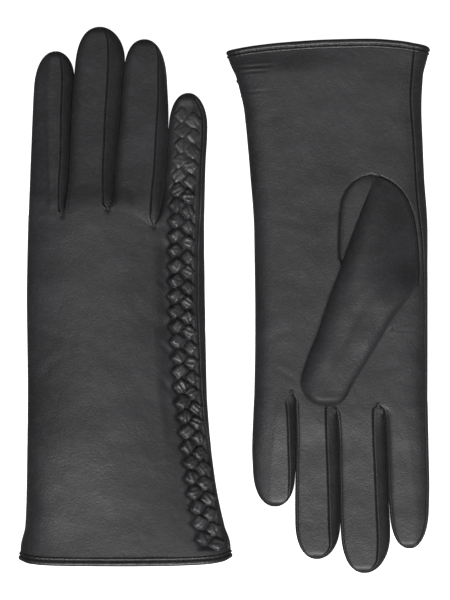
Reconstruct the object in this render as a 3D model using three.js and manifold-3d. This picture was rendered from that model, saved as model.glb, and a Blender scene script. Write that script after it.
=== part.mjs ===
// A pair of lady's leather dress gloves lying flat on a table, each a sewn shell round a knitted lining.
// The right glove lies back up with its thumb folded under the palm, fingers towards +Y.
// The left glove lies palm up with its thumb folded over the palm, fingers towards -Y.
// Millimetres, +Z up, origin under the middle of the pair on the table.
//
// Each glove is modelled in a frame of its own: +Y runs from the cuff to the fingertips, the index
// finger is at -X and the little finger at +X. A group then sets the glove down in the pair.
import * as THREE from "three";
import { mergeVertices } from "three/addons/utils/BufferGeometryUtils.js";
import Module from "manifold-3d";

const wasm = await Module();
wasm.setup();

// ---- Driving dimensions -------------------------------------------------------------------------
const LEATHER = 0.8; // thickness of the glove leather
const LINING = 0.7; // thickness of the knitted lining
const GAP = 0.3; // space left between two pieces that touch
const HALF_GAP = GAP / 2;
const LINING_OUT = LEATHER + GAP; // how far the lining's outer face lies inside the leather's
const LINING_IN = LINING_OUT + LINING;

const HAND_HEIGHT = 11.5; // thickness of the empty hand as it lies
const PROPPED_CUFF_HEIGHT = 15.5; // the cuff stands further open where the thumb props up the palm
const FINGER_HEIGHT = 11;
const FINGERTIP_HEIGHT = 10.4;
const THUMB_HEIGHT = 8.4;
const THUMB_LIFT = THUMB_HEIGHT + GAP; // how far a thumb underneath raises the palm

const BINDING_WALL = 0.7; // leather strip folded over the cuff's edge
const BINDING_WIDTH = 3.6;
const BINDING_OUT = GAP + BINDING_WALL;
const CUFF_LIFT = BINDING_OUT; // the binding lies on the table and holds the cuff's edge up by this
const CUFF_END = 4.5; // y where the hand starts to leave the level of the cuff
const WRIST = 9; // y where it has left it
const THUMB_ROOT_START = 64; // y where the palm has climbed on to the thumb

const PLAIT_THICKNESS = 2.1;
const PLAIT_HALF_WIDTH = 5.6;
const PLAIT_LIFT = PLAIT_THICKNESS + GAP; // how far the plait raises a glove that lies on it

const SLIT_WIDTH = 2.4; // between two fingers, from the crotch to the fold line
const THUMB_HOLE_RADIUS = 10.5;
const THUMB_BASE_RADIUS = 17.5;
const THUMB_TIP_RADIUS = 12;
const THUMB_EDGE_ROUND = 3.2;
const GUSSET = { x: -24.3, halfWidth: 17.5, halfLength: 27 }; // oval leather at the thumb's root

const RIM_REACH = 50; // how far up the hand the bow of the cuff's rim dies out
const RIM_BEND = 6; // the higher, the closer to its corners the rim bends back
const TIP_TURN = 0.97; // share of the quarter turn to the fingertip, where a small flat closes it
const TIP_FLATNESS = 0.8; // the lower, the fuller a fingertip stays in height
const TIP_RISE = 0.4; // share of the lost height by which a fingertip lifts off the table
const SMALLEST_ROUND = 1.4; // on the thumb's inner faces

const CUT_PAST = 2; // how far a cutter runs past what it cuts
const CUT_OUT = 1; // how far it starts outside a wall
const CUT_IN = 3; // how far it reaches inside it
const CUT_ALL = { from: -5, depth: 40 }; // from below the table to above the whole glove
const WELD = 1e-4; // points closer than this are one

const PLAIT_STEP = 12; // length of plait between two sections
const FEWEST_PLAIT_STEPS = 4;
const ARC_STEPS = 3; // facets in a rounded side
const HOLE_SEGMENTS = 8; // facets in half of an oval opening
const LEATHER_BLACK = 0x17171a;
const LINING_BLACK = 0x101012;

// Where each glove's sides run: y, then x of the index side and x of the little-finger side.
// Fingers: x of the centreline and width at the fold line, halfway and at the tip.
const RIGHT = {
  name: "right",
  palmDown: true,
  place: { x: -49.25, y: -130.85, turn: 0 },
  rimRise: 4.2, // how far the cuff's corners are drawn back from its middle
  cuffHeight: PROPPED_CUFF_HEIGHT,
  ramp: [31, 17], // x between which the palm climbs from the table on to what lies under it
  foldY: 182,
  sides: [
    [0, -51.7, 51.7], [7, -51.5, 51.5], [19, -49.2, 48.3], [46, -48.3, 43.4],
    [86, -47.8, 39.9], [132, -48.3, 39.0], [182, -47.3, 38.4],
  ],
  stations: [0, CUFF_END, WRIST, 20, 34, 49, THUMB_ROOT_START, 92, 132, 160],
  columns: [-2, 17, 31],
  crotches: [[-29.5, 170.6], [-7.6, 175], [14.4, 167]],
  fingers: [
    { name: "index", x: [-38.0, -36.4, -34.3], width: [18.1, 19.0, 18.6], midY: 215, tipY: 253.1 },
    { name: "middle", x: [-17.2, -14.9, -12.7], width: [21.4, 22.4, 22.0], midY: 215, tipY: 265.3 },
    { name: "ring", x: [5.4, 8.7, 10.2], width: [21.4, 22.6, 21.8], midY: 215, tipY: 259 },
    { name: "little", x: [27.6, 30.4, 31.3], width: [20.9, 18.9, 17.8], midY: 215, tipY: 232.5 },
  ],
  thumbRoot: [-27, 103],
  thumbTip: [2, 166.5],
  gussetY: 92,
  plait: [
    [30.8, 227], [30.6, 214], [29.2, 194], [27.7, 175], [27.2, 150], [27.4, 126],
    [28.7, 106], [30.1, 84], [32.6, 67], [35, 47], [38, 28], [41.4, 11],
  ],
};

const LEFT = {
  name: "left",
  palmDown: false,
  place: { x: 50.05, y: 126.85, turn: Math.PI },
  rimRise: 4.9,
  cuffHeight: HAND_HEIGHT,
  ramp: [11, 18],
  foldY: 188.5,
  sides: [
    [0, -50.6, 50.6], [5, -50.4, 50.4], [11.5, -47, 47.5], [31, -45.6, 42.6],
    [66, -47, 38.2], [94, -49, 36.3], [146, -49, 35.8], [188.5, -48.9, 36.5],
  ],
  stations: [0, CUFF_END, WRIST, 20, 40, 66, 94, 146],
  columns: [-5, 11, 18],
  crotches: [[-28.8, 176], [-4.6, 175], [16.5, 171.5]],
  fingers: [
    { name: "index", x: [-39.0, -40.1, -40.2], width: [19.6, 19.8, 19.0], midY: 215, tipY: 249 },
    { name: "middle", x: [-16.7, -17.5, -18.1], width: [23.2, 23.8, 23.0], midY: 215, tipY: 261.2 },
    { name: "ring", x: [5.8, 5.9, 4.9], width: [19.8, 20.4, 20.0], midY: 215, tipY: 253.6 },
    { name: "little", x: [26.8, 27.0, 26.5], width: [19.2, 18.9, 18.5], midY: 215, tipY: 228.3 },
  ],
  thumbRoot: [-27, 105],
  thumbTip: [2, 168.5],
  gussetY: 93,
  plait: [
    [26.6, 223], [27.0, 212], [26.8, 200], [26.2, 188], [25.4, 170], [24.6, 146],
    [24.8, 120], [26, 98], [27.6, 76], [30.4, 54], [34.5, 32], [39.5, 11],
  ],
};

// ---- Small helpers ------------------------------------------------------------------------------
const lerp = THREE.MathUtils.lerp;
// 0 at one value and 1 at the other, straight in between.
const ramp = (x, from, to) => THREE.MathUtils.clamp((x - from) / (to - from), 0, 1);

// A value read off a table of [y, value] rows on a smooth curve.
function along(rows, y, column) {
  const last = rows.length - 1;
  let i = 0;
  while (i < last - 1 && y > rows[i + 1][0]) i++;
  const share = THREE.MathUtils.clamp((y - rows[i][0]) / (rows[i + 1][0] - rows[i][0]), 0, 1);
  const before = rows[Math.max(i - 1, 0)];
  const after = rows[Math.min(i + 2, last)];
  const span = rows[i + 1][0] - rows[i][0];
  const slopeIn = ((rows[i + 1][column] - before[column]) / (rows[i + 1][0] - before[0])) * span;
  const slopeOut = ((after[column] - rows[i][column]) / (after[0] - rows[i][0])) * span;
  const s2 = share * share;
  const s3 = s2 * share;
  return (
    (2 * s3 - 3 * s2 + 1) * rows[i][column] +
    (s3 - 2 * s2 + share) * slopeIn +
    (3 * s2 - 2 * s3) * rows[i + 1][column] +
    (s3 - s2) * slopeOut
  );
}

// How far the lower face of the hand stands off the table.
function lift(glove, x, y) {
  const across = ramp(x, ...glove.ramp);
  const under = glove.palmDown
    ? THUMB_LIFT * across * ramp(y, WRIST, THUMB_ROOT_START)
    : PLAIT_LIFT * across;
  return lerp(CUFF_LIFT, under, ramp(y, CUFF_END, WRIST));
}

function handHeight(glove, y) {
  return lerp(glove.cuffHeight, HAND_HEIGHT, ramp(y, WRIST, THUMB_ROOT_START));
}

// The cuff's rim bows: its corners lie further back than its middle.
function rimShift(glove, x, y) {
  const [left, right] = [glove.sides[0][1], glove.sides[0][2]];
  const across = Math.min(1, Math.abs(x) / Math.max(-left, right));
  return glove.rimRise * across ** RIM_BEND * Math.max(0, 1 - y / RIM_REACH);
}

// A closed solid between two grids of points, an outer and an inner one: a curved plate, or a tube if
// its columns close on themselves.
function shellSolid(outer, inner, closed) {
  const rows = outer.length;
  const columns = outer[0].length;
  const points = [...outer.flat(), ...inner.flat()];
  const at = (layer, r, c) => layer * rows * columns + r * columns + (c % columns);
  const index = [];
  const quad = (a, b, c, d) => index.push(a, b, c, a, c, d);
  const spans = closed ? columns : columns - 1;
  for (let r = 0; r < rows - 1; r++) {
    for (let c = 0; c < spans; c++) {
      quad(at(0, r, c), at(0, r, c + 1), at(0, r + 1, c + 1), at(0, r + 1, c));
      quad(at(1, r, c), at(1, r + 1, c), at(1, r + 1, c + 1), at(1, r, c + 1));
    }
  }
  for (let c = 0; c < spans; c++) {
    quad(at(0, 0, c), at(1, 0, c), at(1, 0, c + 1), at(0, 0, c + 1));
    const r = rows - 1;
    quad(at(0, r, c), at(0, r, c + 1), at(1, r, c + 1), at(1, r, c));
  }
  if (!closed) {
    for (let r = 0; r < rows - 1; r++) {
      quad(at(0, r, 0), at(0, r + 1, 0), at(1, r + 1, 0), at(1, r, 0));
      const c = columns - 1;
      quad(at(0, r, c), at(1, r, c), at(1, r + 1, c), at(0, r + 1, c));
    }
  }
  const geometry = new THREE.BufferGeometry().setFromPoints(points).setIndex(index);
  return facingOut(geometry);
}

// Turns a closed geometry's faces round if they point inwards.
function facingOut(geometry) {
  const p = geometry.getAttribute("position");
  const index = geometry.index.array;
  const [a, b, c] = [new THREE.Vector3(), new THREE.Vector3(), new THREE.Vector3()];
  let volume = 0;
  for (let i = 0; i < index.length; i += 3) {
    a.fromBufferAttribute(p, index[i]);
    b.fromBufferAttribute(p, index[i + 1]);
    c.fromBufferAttribute(p, index[i + 2]);
    volume += a.dot(b.cross(c));
  }
  if (volume < 0) {
    for (let i = 0; i < index.length; i += 3) {
      [index[i + 1], index[i + 2]] = [index[i + 2], index[i + 1]];
    }
  }
  return geometry;
}

// ---- Joining and cutting ------------------------------------------------------------------------
function toSolid(geometry) {
  const plain = geometry.clone();
  plain.deleteAttribute("normal");
  plain.deleteAttribute("uv");
  const merged = mergeVertices(plain, WELD);
  return new wasm.Manifold(
    new wasm.Mesh({
      numProp: 3,
      vertProperties: new Float32Array(merged.getAttribute("position").array),
      triVerts: new Uint32Array(merged.index.array),
    }),
  );
}

function toGeometry(solid) {
  const mesh = solid.getMesh();
  const position = new Float32Array(mesh.numVert * 3);
  for (let i = 0; i < mesh.numVert; i++) {
    const from = i * mesh.numProp;
    position.set(mesh.vertProperties.subarray(from, from + 3), i * 3);
  }
  return new THREE.BufferGeometry()
    .setAttribute("position", new THREE.BufferAttribute(position, 3))
    .setIndex(new THREE.BufferAttribute(new Uint32Array(mesh.triVerts), 1));
}

function cut(geometry, ...tools) {
  let solid = toSolid(geometry);
  for (const tool of tools) solid = solid.subtract(toSolid(tool));
  return toGeometry(solid);
}

// ---- Cross-sections -----------------------------------------------------------------------------
// A flattened round section in four runs: index-side arc from the palm to the back, the back from
// index to little finger, little-finger-side arc from the back to the palm, and the palm back again.
// z is counted from the section's lower face; up is +1 where the back of the hand faces up.
function sectionRuns(left, right, height, inset, up, flatColumns) {
  const mid = height / 2;
  const radius = Math.max(mid - inset, 0.05);
  const arc = (centre, from, to) =>
    Array.from({ length: ARC_STEPS + 1 }, (_, i) => {
      const angle = lerp(from, to, i / ARC_STEPS);
      return [centre + radius * Math.cos(angle), mid + up * radius * Math.sin(angle)];
    });
  const [a, b] = [left + mid, right - mid];
  const flat = (side, xs) => xs.map((x) => [x, mid + up * side * radius]);
  return {
    indexArc: arc(a, (3 * Math.PI) / 2, Math.PI / 2),
    back: flat(1, [a, ...flatColumns, b]),
    littleArc: arc(b, Math.PI / 2, -Math.PI / 2),
    palm: flat(-1, [b, ...[...flatColumns].reverse(), a]),
  };
}

// Joins runs that share their end points.
const joinRuns = (...runs) => runs.reduce((all, run) => [...all, ...(all.length ? run.slice(1) : run)], []);
// A whole closed section, without a repeated first point.
const wholeRun = (s) => joinRuns(s.indexArc, s.back, s.littleArc, s.palm).slice(0, -1);

// ---- The hand -----------------------------------------------------------------------------------
function handRow(glove, y, inset, pick) {
  const runs = sectionRuns(
    along(glove.sides, y, 1),
    along(glove.sides, y, 2),
    handHeight(glove, y),
    inset,
    glove.palmDown ? 1 : -1,
    glove.columns,
  );
  return pick(runs).map(
    ([x, z]) => new THREE.Vector3(x, y + rimShift(glove, x, y), z + lift(glove, x, y)),
  );
}

function handShell(glove, outerInset, innerInset, pick, closed) {
  const ys = [...glove.stations, glove.foldY - HALF_GAP];
  return shellSolid(
    ys.map((y) => handRow(glove, y, outerInset, pick)),
    ys.map((y) => handRow(glove, y, innerInset, pick)),
    closed,
  );
}

// The slits between the fingers, which reach from each crotch past the fold line.
function slitCutters(glove) {
  const past = glove.foldY + CUT_PAST;
  return glove.crotches.map(([x, y]) => {
    const radius = SLIT_WIDTH / 2;
    const shape = new THREE.Shape()
      .moveTo(x + radius, past)
      .lineTo(x - radius, past)
      .lineTo(x - radius, y + radius)
      .absarc(x, y + radius, radius, Math.PI, 2 * Math.PI, false)
      .lineTo(x + radius, past);
    return new THREE.ExtrudeGeometry(shape, {
      depth: CUT_ALL.depth,
      bevelEnabled: false,
      curveSegments: HOLE_SEGMENTS / 2,
    }).translate(0, 0, CUT_ALL.from);
  });
}

function ellipseShape(x, y, halfWidth, halfLength) {
  return new THREE.Shape().absellipse(x, y, halfWidth, halfLength, 0, 2 * Math.PI, false, 0);
}

// z of the palm wall's faces where the thumb is sewn in, and from where to where it is cut.
function palmLevels(glove) {
  const out = glove.palmDown ? THUMB_LIFT : HAND_HEIGHT;
  return glove.palmDown
    ? { low: out, cutFrom: out - CUT_OUT, cutTo: out + CUT_IN }
    : { low: out - LEATHER, cutFrom: out - CUT_IN, cutTo: out + CUT_OUT };
}

function palmCutter(glove, shape) {
  const level = palmLevels(glove);
  return new THREE.ExtrudeGeometry(shape, {
    depth: level.cutTo - level.cutFrom,
    bevelEnabled: false,
    curveSegments: HOLE_SEGMENTS,
  }).translate(0, 0, level.cutFrom);
}

function thumbHole(glove) {
  const [x, y] = glove.thumbRoot;
  return ellipseShape(x, y, THUMB_HOLE_RADIUS, THUMB_HOLE_RADIUS);
}

function handPieces(glove) {
  const slits = slitCutters(glove);
  const back = handShell(glove, 0, LEATHER, (s) => joinRuns(s.indexArc, s.back), false);
  const palm = handShell(glove, 0, LEATHER, (s) => joinRuns(s.littleArc, s.palm), false);
  const lining = handShell(glove, LINING_OUT, LINING_IN, wholeRun, true);
  const [openingX, openingY] = [GUSSET.halfWidth + GAP, GUSSET.halfLength + GAP];
  const gussetOpening = ellipseShape(GUSSET.x, glove.gussetY, openingX, openingY);
  // The back and the palm meet at the two side seams, where each gives up half the gap.
  return {
    back_panel: cut(back, ...slits, seamCutter(glove, "palm")),
    palm_panel: cut(palm, ...slits, seamCutter(glove, "back"), palmCutter(glove, gussetOpening)),
    hand_lining: cut(lining, ...slits, palmCutter(glove, thumbHole(glove))),
    thumb_gusset: gussetPiece(glove),
    cuff_binding: bindingPiece(glove),
  };
}

// A thin strip of space along a side seam: beside the index finger the back panel stops short of the
// palm, and beside the little finger the palm panel stops short of the back.
function seamCutter(glove, face) {
  const onBack = face === "back";
  const high = glove.palmDown === onBack;
  const ys = [...glove.stations, glove.foldY + CUT_OUT];
  const ring = (x0, x1, z0, z1) => [[x0, z0], [x1, z0], [x1, z1], [x0, z1]];
  const rows = ys.map((y, i) => {
    const start = i === 0 ? -CUT_OUT : y;
    const height = handHeight(glove, y);
    const seamX = onBack ? along(glove.sides, y, 2) - height / 2 : along(glove.sides, y, 1) + height / 2;
    const wallZ = high ? height : 0;
    const x0 = seamX - GAP;
    const x1 = seamX + GAP;
    const z0 = wallZ - 2 * LEATHER;
    const z1 = wallZ + 2 * LEATHER;
    return ring(x0, x1, z0, z1).map(
      ([x, z]) => new THREE.Vector3(x, start + rimShift(glove, x, y), z + lift(glove, x, y)),
    );
  });
  return tubeSolid(rows);
}

// A solid bar through a list of closed rings of points.
function tubeSolid(rows) {
  const columns = rows[0].length;
  const index = [];
  for (let r = 0; r < rows.length - 1; r++) {
    for (let c = 0; c < columns; c++) {
      const a = r * columns + c;
      const b = r * columns + ((c + 1) % columns);
      index.push(a, b, b + columns, a, b + columns, a + columns);
    }
  }
  const last = (rows.length - 1) * columns;
  for (let c = 1; c < columns - 1; c++) {
    index.push(0, c + 1, c);
    index.push(last, last + c, last + c + 1);
  }
  return facingOut(new THREE.BufferGeometry().setFromPoints(rows.flat()).setIndex(index));
}

function gussetPiece(glove) {
  const oval = ellipseShape(GUSSET.x, glove.gussetY, GUSSET.halfWidth, GUSSET.halfLength);
  oval.holes.push(new THREE.Path(thumbHole(glove).getPoints(HOLE_SEGMENTS)));
  return new THREE.ExtrudeGeometry(oval, {
    depth: LEATHER,
    bevelEnabled: false,
    curveSegments: HOLE_SEGMENTS,
  }).translate(0, 0, palmLevels(glove).low);
}

// The strip folded over the cuff's edge: outside, round the rim and up the inside.
function bindingPiece(glove) {
  const outer = BINDING_OUT;
  const inner = LINING_IN + GAP;
  const profile = (walls) => [
    [-walls[0], BINDING_WIDTH], [-walls[0], walls[2]], [walls[1], walls[2]], [walls[1], BINDING_WIDTH],
  ];
  const row = ([inset, y]) => {
    const runs = sectionRuns(
      along(glove.sides, 0, 1),
      along(glove.sides, 0, 2),
      glove.cuffHeight,
      inset,
      glove.palmDown ? 1 : -1,
      glove.columns,
    );
    return wholeRun(runs).map(
      ([x, z]) => new THREE.Vector3(x, y + rimShift(glove, x, 0) - rimDrop(glove, x, y), z + CUFF_LIFT),
    );
  };
  const outside = profile([outer, inner + BINDING_WALL, -GAP - BINDING_WALL]);
  const inside = profile([GAP, inner, -GAP]);
  return shellSolid(outside.map(row), inside.map(row), true);
}

// The binding lies straight on the rim while the hand's rows fan out from it.
const rimDrop = (glove, x, y) => rimShift(glove, x, 0) - rimShift(glove, x, Math.max(y, 0));

// ---- The fingers --------------------------------------------------------------------------------
// One finger's section at a share of its length, with its inner faces inset on all sides.
function fingerRow(glove, finger, share, inset, pick) {
  const base = glove.foldY + HALF_GAP;
  const length = finger.tipY - base - inset;
  const halfTip = finger.width[2] / 2 - inset;
  const body = length - halfTip;
  // Shares up to 1 run along the straight part, and from 1 to 2 round the tip.
  const round = Math.max(0, share - 1);
  const y = base + (share <= 1 ? body * share : body + halfTip * Math.sin((round * Math.PI) / 2));
  const narrowing = Math.cos((Math.min(round, TIP_TURN) * Math.PI) / 2);
  const t = (y - base) / (finger.tipY - base);
  const mid = (finger.midY - base) / (finger.tipY - base);
  const rows = [0, mid, 1].map((at, i) => [at, finger.x[i], finger.width[i] / 2]);
  const centre = along(rows, t, 1);
  const half = (along(rows, t, 2) - inset) * narrowing + inset;
  const fullHeight = lerp(FINGER_HEIGHT, FINGERTIP_HEIGHT, t);
  const height = (fullHeight - 2 * inset) * narrowing ** TIP_FLATNESS + 2 * inset;
  const runs = sectionRuns(centre - half, centre + half, height, inset, glove.palmDown ? 1 : -1, []);
  const stand = fingerStand(glove, finger, y) + (share > 1 ? (fullHeight - height) * TIP_RISE : 0);
  return pick(runs).map(([x, z]) => new THREE.Vector3(x, y, z + stand));
}

// How far the finger's lower face stands off the table: it slopes down from the raised hand to where
// its tip starts to round off.
function fingerStand(glove, finger, y) {
  const atFold = lift(glove, finger.x[0], glove.foldY);
  if (!glove.palmDown) return atFold;
  const top = HAND_HEIGHT - FINGER_HEIGHT;
  return (atFold + top) * (1 - ramp(y, glove.foldY, finger.tipY - finger.width[2] / 2));
}

const FINGER_SHARES = [0, 0.5, 1, 1.4, 1.75, 2];

function fingerShell(glove, finger, outerInset, innerInset, pick, closed) {
  return shellSolid(
    FINGER_SHARES.map((share) => fingerRow(glove, finger, share, outerInset, pick)),
    FINGER_SHARES.map((share) => fingerRow(glove, finger, share, innerInset, pick)),
    closed,
  );
}

// Takes a small step back from the ends of a run, so that neighbouring panels keep their gap.
function trimmed(run) {
  const step = (from, to) => {
    const [dx, dz] = [to[0] - from[0], to[1] - from[1]];
    const length = Math.hypot(dx, dz) || 1;
    const move = Math.min(HALF_GAP, length / 3);
    return [from[0] + (dx / length) * move, from[1] + (dz / length) * move];
  };
  const last = run.length - 1;
  return run.map((p, i) => (i === 0 ? step(p, run[1]) : i === last ? step(p, run[last - 1]) : p));
}

function fingerPieces(glove, finger, place) {
  const first = place === 0;
  const final = place === glove.fingers.length - 1;
  const backRun = first ? (s) => trimmed(joinRuns(s.indexArc, s.back)) : (s) => trimmed(s.back);
  const palmRun = final ? (s) => trimmed(joinRuns(s.littleArc, s.palm)) : (s) => trimmed(s.palm);
  const pieces = {
    back: fingerShell(glove, finger, 0, LEATHER, backRun, false),
    palm: fingerShell(glove, finger, 0, LEATHER, palmRun, false),
    lining: fingerShell(glove, finger, LINING_OUT, LINING_IN, wholeRun, true),
  };
  if (!final) {
    pieces.fourchette_outer = fingerShell(glove, finger, 0, LEATHER, (s) => trimmed(s.littleArc), false);
  }
  if (!first) {
    pieces.fourchette_inner = fingerShell(glove, finger, 0, LEATHER, (s) => trimmed(s.indexArc), false);
  }
  return pieces;
}

// ---- The thumb ----------------------------------------------------------------------------------
// A tapered outline with a big round end at the root and a small one at the tip.
function thumbOutline(glove, inset) {
  const root = new THREE.Vector2(...glove.thumbRoot);
  const tip = new THREE.Vector2(...glove.thumbTip);
  const axis = tip.clone().sub(root);
  const heading = axis.angle();
  const lean = Math.acos((THUMB_BASE_RADIUS - THUMB_TIP_RADIUS) / axis.length());
  return new THREE.Shape()
    .absarc(root.x, root.y, THUMB_BASE_RADIUS - inset, heading + lean, heading - lean + 2 * Math.PI, false)
    .absarc(tip.x, tip.y, THUMB_TIP_RADIUS - inset, heading - lean, heading + lean, false)
    .closePath();
}

function thumbBlank(glove, inset) {
  const low = glove.palmDown ? 0 : HAND_HEIGHT + GAP;
  const round = Math.max(THUMB_EDGE_ROUND - inset, SMALLEST_ROUND);
  return new THREE.ExtrudeGeometry(thumbOutline(glove, inset + round), {
    depth: THUMB_HEIGHT - 2 * inset - 2 * round,
    bevelThickness: round,
    bevelSize: round,
    bevelSegments: 1,
    curveSegments: 6,
  }).translate(0, 0, low + inset + round);
}

// The thumb's hollow shell, open at its root where it meets the hole in the palm.
function thumbShell(glove, outerInset, innerInset) {
  const [x, y] = glove.thumbRoot;
  const depth = THUMB_HEIGHT / 2 + CUT_PAST;
  const low = glove.palmDown ? THUMB_HEIGHT / 2 : HAND_HEIGHT - CUT_OUT;
  const mouth = new THREE.ExtrudeGeometry(
    ellipseShape(x, y, THUMB_HOLE_RADIUS, THUMB_HOLE_RADIUS),
    { depth, bevelEnabled: false, curveSegments: HOLE_SEGMENTS },
  ).translate(0, 0, low);
  return cut(thumbBlank(glove, outerInset), thumbBlank(glove, innerInset), mouth);
}

function thumbPieces(glove) {
  return {
    thumb: thumbShell(glove, 0, LEATHER),
    thumb_lining: thumbShell(glove, LINING_OUT, LINING_IN),
  };
}

// ---- The plait ----------------------------------------------------------------------------------
// A flat plaited band on the back of the hand and of the little finger, between two values of y.
function plaitPiece(glove, fromY, toY) {
  const little = glove.fingers[glove.fingers.length - 1];
  const table = glove.plait.map(([x, y]) => [y, x]).sort((a, b) => a[0] - b[0]);
  const steps = Math.max(FEWEST_PLAIT_STEPS, Math.round((toY - fromY) / PLAIT_STEP));
  const seat = (x, y) => {
    const onFinger = y > glove.foldY;
    if (!glove.palmDown) return 0;
    return onFinger
      ? fingerStand(glove, little, y) + FINGER_HEIGHT + GAP
      : lift(glove, x, y) + handHeight(glove, y) + GAP;
  };
  const rows = Array.from({ length: steps + 1 }, (_, i) => {
    const y = lerp(fromY, toY, i / steps);
    const x = along(table, y, 1);
    const point = (side, height) => {
      const px = x + side * PLAIT_HALF_WIDTH;
      return new THREE.Vector3(px, y, seat(px, y) + height);
    };
    const below = [-1, 0, 1].map((side) => point(side, 0));
    const above = [1, 0, -1].map((side) => point(side, PLAIT_THICKNESS));
    return [...below, ...above];
  });
  return tubeSolid(rows);
}

// ---- Assembly -----------------------------------------------------------------------------------
function leather(geometry, name) {
  const material = new THREE.MeshStandardMaterial({ color: LEATHER_BLACK, roughness: 0.48, metalness: 0 });
  return named(geometry, material, name);
}

function knit(geometry, name) {
  const material = new THREE.MeshStandardMaterial({ color: LINING_BLACK, roughness: 0.95, metalness: 0 });
  return named(geometry, material, name);
}

function named(geometry, material, name) {
  const mesh = new THREE.Mesh(geometry, material);
  mesh.name = name;
  return mesh;
}

function addAll(group, prefix, pieces) {
  for (const [part, geometry] of Object.entries(pieces)) {
    const make = part.includes("lining") ? knit : leather;
    group.add(make(geometry, `${prefix}_${part}`));
  }
}

function makeGlove(glove) {
  const group = new THREE.Group();
  const ends = glove.plait.map(([, y]) => y);
  addAll(group, glove.name, handPieces(glove));
  addAll(group, glove.name, thumbPieces(glove));
  addAll(group, glove.name, { plait: plaitPiece(glove, Math.min(...ends), glove.foldY - HALF_GAP) });
  glove.fingers.forEach((finger, place) => {
    addAll(group, `${glove.name}_${finger.name}`, fingerPieces(glove, finger, place));
  });
  const littlePlait = plaitPiece(glove, glove.foldY + HALF_GAP, Math.max(...ends));
  addAll(group, `${glove.name}_little`, { plait: littlePlait });
  group.position.set(glove.place.x, glove.place.y, 0);
  group.rotation.z = glove.place.turn;
  return group;
}

const pair = new THREE.Group();
pair.add(makeGlove(RIGHT), makeGlove(LEFT));

export default pair;
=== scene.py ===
"""A pair of lady's black leather dress gloves lying flat.

The right glove lies back up and the left one palm up, with its thumb folded across the palm.
Each glove is drawn in a frame of its own, in millimetres: +Y runs from the cuff to the fingertips,
the index finger is at -X and the little finger at +X. Pieces are set down in metres at the end.
"""

import math

import bmesh
import bpy
import numpy as np
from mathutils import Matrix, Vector


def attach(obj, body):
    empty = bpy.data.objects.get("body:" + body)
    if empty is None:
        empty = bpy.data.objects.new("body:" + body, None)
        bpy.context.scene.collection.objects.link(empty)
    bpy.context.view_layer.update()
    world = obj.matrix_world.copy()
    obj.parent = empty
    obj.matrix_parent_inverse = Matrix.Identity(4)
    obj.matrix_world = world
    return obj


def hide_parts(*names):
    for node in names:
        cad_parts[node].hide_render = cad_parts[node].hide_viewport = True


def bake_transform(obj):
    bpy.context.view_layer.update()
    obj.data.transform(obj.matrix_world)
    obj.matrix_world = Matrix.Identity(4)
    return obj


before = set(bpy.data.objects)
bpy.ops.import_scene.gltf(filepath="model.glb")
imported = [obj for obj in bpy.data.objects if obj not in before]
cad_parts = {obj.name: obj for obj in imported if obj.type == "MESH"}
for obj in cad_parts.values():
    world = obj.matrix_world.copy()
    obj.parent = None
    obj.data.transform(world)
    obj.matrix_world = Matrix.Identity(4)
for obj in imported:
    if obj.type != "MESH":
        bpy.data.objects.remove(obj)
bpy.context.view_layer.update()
bpy.ops.object.select_all(action="DESELECT")

# Millimetres, unless a name says otherwise.
MM = 0.001
RIGHT_PLACE = (-49.25, -130.85, 0)
LEFT_PLACE = (50.05, 126.85, 0)
TABLE_DROP = 0.0003
FINGER_ORDER = ["index", "middle", "ring", "little"]

# Heights: how far the thumb and the plait underneath lift a glove, and the sheets apart.
THUMB_LIFT = 8.7
PLAIT_LIFT = 2.4
CUFF_LIFT = 1.0
HAND_HEIGHT = 11.5
FINGER_HEIGHT = 11.0

# Walls of the pieces.
LEATHER = 0.6
KNIT_WALL = 0.4
THUMB_WALL = 0.3

# Seams: how deep and wide an edge is tucked in, and how far neighbouring fingers' edges lean.
SEAM_TUCK = 1.1
SEAM_WIDTH = 0.27
EDGE_LEAN = 0.9

# Rows run across a glove. They bend to pass through the crotches, and straighten past them.
ROW_STEP = 0.6
HEM_TOP = 4.5
TIP_ROUND = 5.0
WARP_REACH = 30.0
CROTCH_BEND = 4

# The plait's first pad and the way from pad to pad; the hem's places round it and its stitches.
PLAIT_START = 14.6
PLAIT_PITCH = 7.4
HEM_PLACES = 420
HEM_STITCH = 2.4
THUMB_TACK = (-31.3, 141.2)
TACK_SIZES = (1.1, 1.3, 1.5)

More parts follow.
